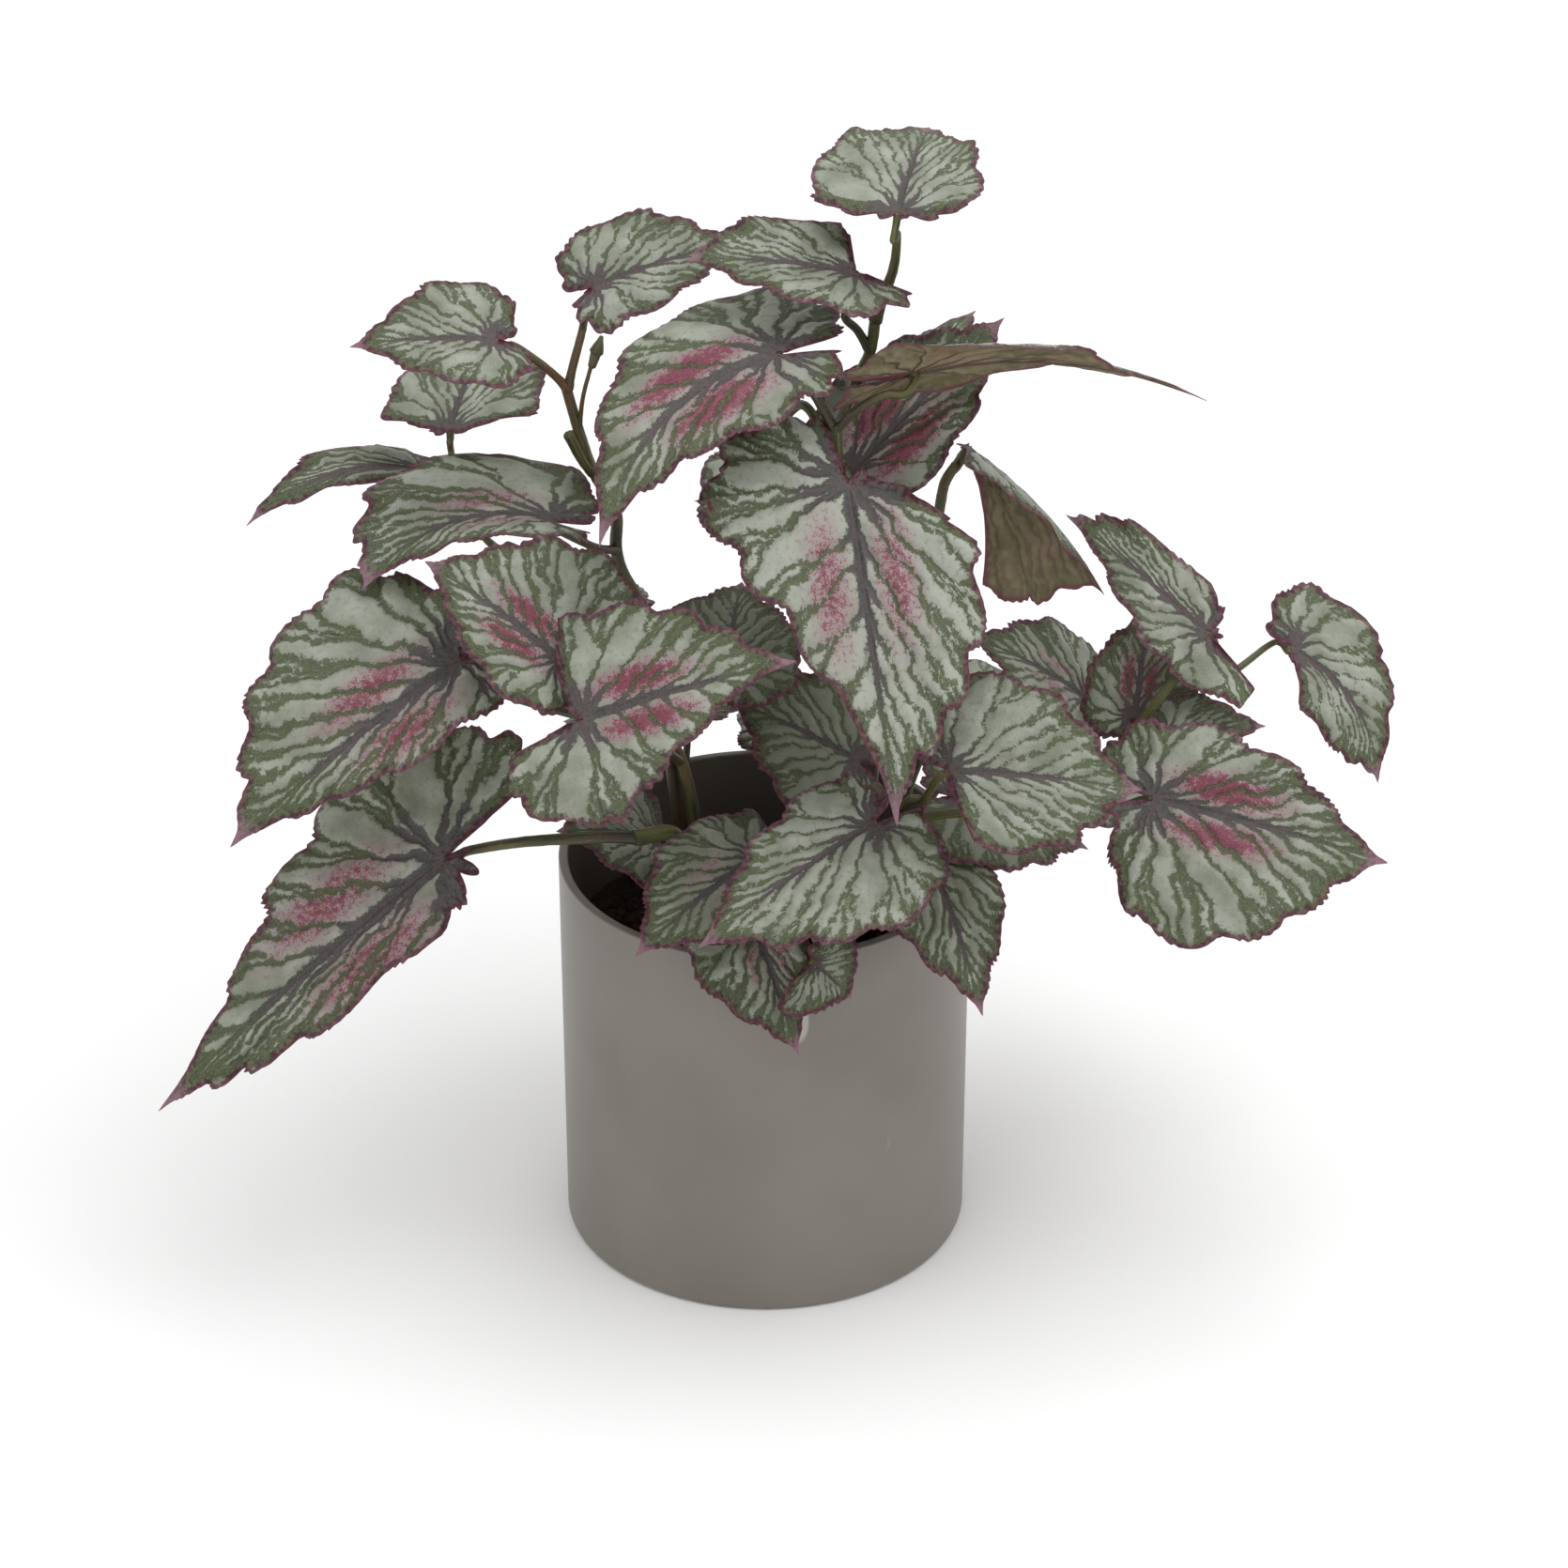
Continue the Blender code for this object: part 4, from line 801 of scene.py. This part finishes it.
def blade_surface(leaf, u, v, mark, row, length):
    """Points and upward directions of the blade's middle surface, in millimetres.

    Across the midrib each half leaves at its fold angle and curls by its cup angle over its width,
    the edge waves up and down, and the whole twists along.
    """
    axes, _ = leaf_axes(leaf)
    marks, line, sideways, upward = midrib(leaf)
    left = mark <= 0
    fold = np.radians(np.where(left, *leaf.fold))
    cup = np.radians(np.where(left, *leaf.cup)) / (np.where(left, *leaf.half) / length)
    cup = np.where(abs(cup) < 0.001, 0.001, cup)
    width = np.abs(v)
    x = np.sign(v) * (np.sin(fold + cup * width) - np.sin(fold)) / cup
    z = (np.cos(fold) - np.cos(fold + cup * width)) / cup
    size = np.abs(mark)
    waves = WAVE * row**2 * np.sin(np.pi * size / 2 + 0.6) + RIPPLE * row**3 * np.sin(np.pi * size + 0.4)
    z = z + waves * np.clip(size - 1, 0, 1)
    twist = math.radians(leaf.twist) * u
    x, z = x * np.cos(twist) - z * np.sin(twist), x * np.sin(twist) + z * np.cos(twist)
    at = [np.stack([np.interp(u, marks, part[:, k]) for k in range(3)], -1)
          for part in (line, sideways, upward)]
    local = at[0] + x[..., None] * at[1] + z[..., None] * at[2]
    return np.array(leaf.base) + local @ axes * length


def vein_lines(leaf, length, draws):
    """The veins of a blade as segments in (u, v), each with the width of its dark band at its two ends.

    Six veins fan from the base in each half. Six more leave the midrib in each half. Each of them is
    bowed a little and forks past its middle. The midrib itself runs from base to tip.
    """
    lines = []

    def bowed(start, end, bow, low, high, rank):
        t = np.linspace(0, 1, VEIN_STEPS + 1)[:, None]
        path = start + (end - start) * t + np.array([bow, 0.0]) * t * (1 - t)
        lines.append((path, low, high, rank))
        return path

    def on_edge(spot):
        return edge_at(leaf, np.array([spot]), length)[0]

    for side in (-1, 1):
        for end_mark in FAN_ENDS:
            spot = side * (end_mark + draws.uniform(-0.015, 0.015)) * leaf.teeth
            end = on_edge(spot)
            reach = np.linalg.norm(end)
            path = bowed(np.zeros(2), end, draws.uniform(0.0, 0.16) * reach, 0.35, 1.0, 1)
            for turn in (-1, 1):
                fork = on_edge(spot + turn * FORK * draws.uniform(0.8, 1.3) * leaf.teeth)
                bowed(path[draws.integers(3, 6)], fork, draws.uniform(-0.06, 0.06) * reach, 0.6, 0.9, 2)
        for start, end_mark in zip(RIB_STARTS, RIB_ENDS):
            root = np.array([start + draws.uniform(-0.03, 0.03), 0.0])
            spot = side * end_mark * leaf.teeth
            end = on_edge(spot)
            path = bowed(root, end, draws.uniform(-0.12, 0.0) * (1 - start), 0.45, 0.9, 1)
            fork = on_edge(spot + side * 0.7 * FORK * leaf.teeth)
            bowed(path[draws.integers(3, 5)], fork, draws.uniform(-0.04, 0.04), 0.5, 0.8, 2)
    bowed(np.zeros(2), np.array([1.0, 0.0]), 0.0, 0.9, 0.4, 0)
    starts = np.vstack([path[:-1] for path, *_ in lines])
    ends = np.vstack([path[1:] for path, *_ in lines])
    share = np.linspace(0, 1, VEIN_STEPS + 1)
    low = np.concatenate([a + (b - a) * share[:-1] for _, a, b, _ in lines])
    high = np.concatenate([a + (b - a) * share[1:] for _, a, b, _ in lines])
    rank = np.repeat([r for *_, r in lines], VEIN_STEPS)
    return starts, ends, low, high, rank


def wandering(points, draws):
    """The points moved by sums of crossed sine waves, so that the veins drawn there wander."""
    moved = points.copy()
    calm = np.clip(np.abs(points[:, 1:2]) / 6, 0, 1)
    for size, wavelength in WANDER:
        turn = draws.uniform(0, 2 * np.pi, 4)
        x, y = (points * 2 * np.pi / wavelength).T
        push = np.stack([np.sin(y + turn[0]) * np.cos(0.6 * x + turn[1]),
                         np.sin(x + turn[2]) * np.cos(0.6 * y + turn[3])], -1)
        moved += size * calm * push
    return moved


def nearness(points, starts, ends, low, high):
    """For each point the smallest distance to a segment, and the smallest of distance over width."""
    span = ends - starts
    square = (span**2).sum(1) + 1e-12
    offset = points[:, None] - starts[None]
    t = np.clip((offset * span).sum(-1) / square, 0, 1)
    far = np.linalg.norm(offset - t[..., None] * span, axis=-1)
    return far.min(1), (far / (low + (high - low) * t)).min(1)


def leaf_upper_skin():
    """Silver islands in a speckled dark green net, dark grey with crimson by the midrib, maroon edge."""
    skin = Skin("Leaf upper skin")
    where = skin.reading("blade", "Vector")
    speck = skin.noise(where, 1500.0, 2.0)
    blot = skin.noise(where, 420.0, 3.0)
    drift = skin.noise(where, 60.0, 2.0)
    grain = speck * 0.55 + blot * 0.45
    vein = skin.reading("vein")
    line = skin.reading("line")
    edge = skin.reading("edge")
    net = skin.reading("net")
    core = skin.reading("core")
    flush = skin.reading("flush")
    pale = skin.reading("pale")
    border = (1.0 - edge.step(1.0, 7.0)) * 0.9
    cover = (net + (blot - 0.5) * 3.4 + (speck - 0.5) * 2.6 + border + core * 1.6 - vein).step(-0.3, 0.3)
    # The silver is darker where the random drift is low and where pale is low, which is painted shade on a leaf in
    # shade.
    silver = skin.mix((drift + pale - 0.5).step(0.25, 0.75), srgb(110, 115, 99), srgb(152, 156, 144))
    silver = skin.mix(speck.step(0.55, 0.72) * 0.4, silver, srgb(172, 176, 165))
    silver = skin.mix(blot.step(0.52, 0.66) * 0.4, silver, srgb(108, 114, 90))
    pink = skin.mix(speck.step(0.38, 0.62), srgb(72, 14, 34), srgb(132, 42, 72))
    spot = (flush + (grain - 0.5) * 2.6).step(0.38, 0.66)
    silver = skin.mix((flush * 1.6).step(0.05, 0.8) * 0.6, silver, srgb(136, 112, 118))
    patch = skin.mix(spot * 0.9, silver, pink)
    green = skin.mix(grain.step(0.38, 0.62), srgb(42, 50, 28), srgb(84, 92, 60))
    dusk = skin.mix(grain.step(0.38, 0.62), srgb(46, 46, 44), srgb(80, 76, 76))
    net_colour = skin.mix((core * 1.4 + (grain - 0.5) * 0.8).step(0.12, 0.5), green, dusk)
    colour = skin.mix(cover * 0.93, patch, net_colour)
    thread = 1.0 - (line - (speck - 0.5) * 0.3).step(0.10, 0.55)
    colour = skin.mix(thread * core.step(0.02, 0.5) * 0.55, colour, srgb(92, 66, 70))
    rim = 1.0 - (edge + (blot - 0.5) * 7.0 + (speck - 0.5) * 2.0).step(0.9, 3.0)
    maroon = skin.mix(blot.step(0.4, 0.6), srgb(58, 24, 36), srgb(100, 44, 64))
    colour = skin.mix(rim * 0.92, colour, maroon)
    tip = skin.reading("tip")
    colour = skin.mix((tip + (grain - 0.5) * 0.8).step(0.3, 0.8) * 0.55, colour, srgb(150, 118, 130))
    sheen = 0.36 + 0.2 * cover + 0.16 * grain
    height = speck * 0.5 + blot * 0.6 - cover * 0.5
    return skin.finish(colour, sheen, height, 0.0004)


def leaf_under_skin():
    """Olive brown, rosy near the edge, with dark purple-brown veins."""
    skin = Skin("Leaf under skin")
    where = skin.reading("blade", "Vector")
    speck = skin.noise(where, 1300.0, 2.0)
    blot = skin.noise(where, 260.0, 3.0)
    drift = skin.noise(where, 45.0, 2.0)
    line = skin.reading("line")
    vein = skin.reading("vein")
    edge = skin.reading("edge")
    olive = skin.mix(drift.step(0.3, 0.7), srgb(96, 92, 62), srgb(128, 110, 88))
    colour = skin.mix(blot.step(0.4, 0.7) * 0.5, olive, srgb(140, 128, 100))
    shade = 1.0 - (vein + (blot - 0.5) * 1.6).step(0.3, 1.3)
    colour = skin.mix(shade * 0.25, colour, srgb(76, 66, 46))
    dark = 1.0 - (line + (speck - 0.5) * 0.3).step(0.35, 0.85)
    near = skin.reading("core").step(0.0, 0.4)
    colour = skin.mix(dark * (0.35 + near * 0.5), colour, srgb(60, 40, 34))
    rim = 1.0 - (edge + (blot - 0.5) * 2.0).step(0.4, 2.6)
    colour = skin.mix(rim * 0.85, colour, srgb(104, 50, 66))
    return skin.finish(colour, 0.5 + 0.15 * speck, speck * 0.6 + blot * 0.4, 0.0003)


COLUMN_PITCH = 1.05
ROW_PITCH = 1.7
MOST_COLUMNS = 400
QUILT = 1.1
RIDGE = 0.55


def grid_faces(rows, columns):
    """Faces of a fan: row 0 is the single point 0, and rows of columns follow. Quads and triangles."""
    first = 1 + np.arange(rows - 2)[:, None] * columns
    j = np.arange(columns - 1)
    quads = np.stack([first + j, first + j + 1, first + columns + j + 1, first + columns + j], -1)
    fan = np.stack([np.zeros(columns - 1, int), 1 + j + 1, 1 + j], -1)
    return quads.reshape(-1, 4), fan


def rim_faces(rows, columns, below):
    """Quads between the edges of the upper fan and of the lower one, whose points start at below."""
    last = 1 + (rows - 2) * columns
    border = np.r_[0, 1 + np.arange(rows - 1) * columns, last + 1 + np.arange(columns - 1),
                   (columns + np.arange(rows - 1) * columns)[::-1][1:], 0]
    return np.stack([border[:-1], border[1:], border[1:] + below, border[:-1] + below], -1)


def make_leaf(number, name, leaf, skins):
    """One blade as a closed thin solid with its veins' relief, and what its skins need to know."""
    draws = np.random.default_rng(1000 + number)
    _, length = leaf_axes(leaf)
    rough_edge = edge_at(leaf, np.linspace(-leaf.teeth, leaf.teeth, 200), length)
    around = np.linalg.norm(np.diff(rough_edge, axis=0), axis=1).sum() * length
    columns = int(min(around / COLUMN_PITCH, MOST_COLUMNS)) // 2 * 2 + 1
    rows = int(np.clip(length * 0.75 / ROW_PITCH, 14, 42))
    mark = np.linspace(-leaf.teeth, leaf.teeth, columns)
    edge = toothed(leaf, mark, edge_at(leaf, mark, length), length, draws)
    row = (np.arange(rows) / (rows - 1)) ** 0.85
    flat = edge[None] * row[:, None, None]
    u, v = flat[..., 0], flat[..., 1]
    middle = blade_surface(leaf, u, v, mark[None], row[:, None], length)
    across = np.gradient(middle[1:], axis=1)
    outward = np.gradient(middle, axis=0)[1:]
    normal = unit(np.cross(across, outward))
    base_up = unit(normal[0].mean(0))
    starts, ends, low, high, rank = vein_lines(leaf, length, draws)
    spread = length / 100 * 1.25
    straight = flat[1:].reshape(-1, 2) * length
    points = wandering(straight, draws)
    starts, ends = starts * length, ends * length
    narrow = np.clip(2.2 * np.where(ends[:, 1] > 0, *leaf.half) / length, 0.45, 1.1) * spread
    far, ratio = nearness(points, starts, ends, low * narrow + 0.25, high * narrow + 0.25)
    main = rank < 2
    rib, _ = nearness(points, starts[main], ends[main], low[main], high[main])
    from_edge, _ = nearness(straight, edge[:-1] * length, edge[1:] * length, np.ones(1), np.ones(1))
    shape = (rows - 1, columns)
    far, rib, ratio, from_edge = (part.reshape(shape) for part in (far, rib, ratio, from_edge))
    calm = np.clip(row[1:, None] * length / 12, 0, 1)
    puff = QUILT * (length / 100) ** 0.5 * (1 - np.exp(-(far / 1.7) ** 2)) * calm * np.clip(from_edge / 3, 0, 1)
    ridge = RIDGE * np.exp(-(rib / 0.7) ** 2) * np.clip(1.2 - row[1:, None], 0.2, 1)
    thick = (BLADE_THIN / 2) * np.clip(from_edge / 2, 0.55, 1)
    upper = middle[1:] + normal * (puff + thick - 0.3 * QUILT)[..., None]
    lower = middle[1:] + normal * (puff - thick - ridge * np.clip(from_edge / 3, 0, 1) - 0.3 * QUILT)[..., None]
    base = np.array(leaf.base)
    cloud = np.vstack([base + base_up * BLADE_THIN / 2, upper.reshape(-1, 3),
                       base - base_up * BLADE_THIN / 2, lower.reshape(-1, 3)])
    below = 1 + upper.shape[0] * columns
    quads, fan = grid_faces(rows, columns)
    rim = rim_faces(rows, columns, below)
    faces = [quads, quads[:, ::-1] + below, rim, fan, fan[:, ::-1] + below]
    side = np.concatenate([np.full(len(part), k) for part, k in zip(faces, (0, 1, 0, 0, 1))])
    mesh = surface_mesh(name, cloud * MM, faces, skins, side, sharp=50)
    along, aside = u[1:], np.abs(v[1:]) * length
    core = np.exp(-(aside / (0.035 * length)) ** 2) * np.clip(1.3 - 1.7 * along, 0, 1) * (along > -0.05)
    core = np.maximum(core, np.exp(-(np.hypot(u, v)[1:] / 0.13) ** 2))
    flush = leaf.flush * np.exp(-((aside / length - 0.10) / 0.075) ** 2)
    flush = flush * np.exp(-((along - 0.30) / 0.25) ** 2)
    tip = np.clip((along - 0.80) / 0.2, 0, 1)
    seed = np.full(along.size, number * 0.05)

    def both(values, at_base):
        return np.tile(np.r_[at_base, np.asarray(values, float).ravel()], 2)

    blade_place = np.stack([u[1:].ravel() * length * MM, v[1:].ravel() * length * MM, seed], -1)
    blade_place = np.vstack([[[0, 0, seed[0]]], blade_place])
    carry(mesh, "blade", np.vstack([blade_place, blade_place]))
    carry(mesh, "vein", both(ratio, 0))
    carry(mesh, "line", both(rib, 0))
    carry(mesh, "edge", both(from_edge, 20))
    carry(mesh, "net", both(np.full(along.size, leaf.green), leaf.green))
    carry(mesh, "core", both(core, 1))
    carry(mesh, "flush", both(flush, 0))
    carry(mesh, "tip", both(tip, 0))
    # pale carries each leaf's painted light and shade on its silver.
    carry(mesh, "pale", both(np.full(along.size, leaf.pale), leaf.pale))
    place(name.capitalize(), mesh, [name], "leaf")


leaf_skins = [leaf_upper_skin(), leaf_under_skin()]
for leaf_number, (leaf_name, leaf) in enumerate(LEAVES.items()):
    make_leaf(leaf_number, leaf_name, leaf, leaf_skins)

# The setting
#
# A plain white floor, soft white light from all round with a broad key above, and the photograph's
# camera: a long lens that looks down by 30 degrees.

CAMERA_AIM = (0.008, 0.0, 0.204)
CAMERA_DISTANCE = 2.4
CAMERA_DOWN = math.radians(30)
CAMERA_LENS = 134.5
FLOOR_SIZE = 40.0


def make_floor():
    """A large plain sheet under the pot."""
    half = FLOOR_SIZE / 2
    corners = np.array([[-half, -half, 0], [half, -half, 0], [half, half, 0], [-half, half, 0]])
    skin = Skin("White floor")
    material = skin.finish(srgb(250, 250, 250), 0.8)
    mesh = surface_mesh("Floor", corners, [np.array([[0, 1, 2, 3]])], [material])
    floor = bpy.data.objects.new("Floor", mesh)
    bpy.context.scene.collection.objects.link(floor)


def add_light(name, location, turn, size, power):
    """A square area light."""
    data = bpy.data.lights.new(name, "AREA")
    data.size = size
    data.energy = power
    light = bpy.data.objects.new(name, data)
    light.location = location
    light.rotation_euler = turn
    bpy.context.scene.collection.objects.link(light)


def add_camera():
    """The photograph's camera."""
    data = bpy.data.cameras.new("Camera")
    data.lens = CAMERA_LENS
    data.clip_end = 100.0
    camera = bpy.data.objects.new("Camera", data)
    away = np.array([0, -math.cos(CAMERA_DOWN), math.sin(CAMERA_DOWN)]) * CAMERA_DISTANCE
    camera.location = np.array(CAMERA_AIM) + away
    camera.rotation_euler = (math.pi / 2 - CAMERA_DOWN, 0.0, 0.0)
    bpy.context.scene.collection.objects.link(camera)
    bpy.context.scene.camera = camera


def set_sky(strength):
    """An even white sky."""
    world = bpy.data.worlds.new("Studio")
    world.use_nodes = True
    world.node_tree.nodes["Background"].inputs["Color"].default_value = (1, 1, 1, 1)
    world.node_tree.nodes["Background"].inputs["Strength"].default_value = strength
    bpy.context.scene.world = world


make_floor()
set_sky(0.95)
add_light("Key", (0.5, -0.3, 2.2), (math.radians(8), math.radians(13), 0), 1.4, 16)
add_camera()
bpy.context.scene.view_settings.view_transform = "Standard"
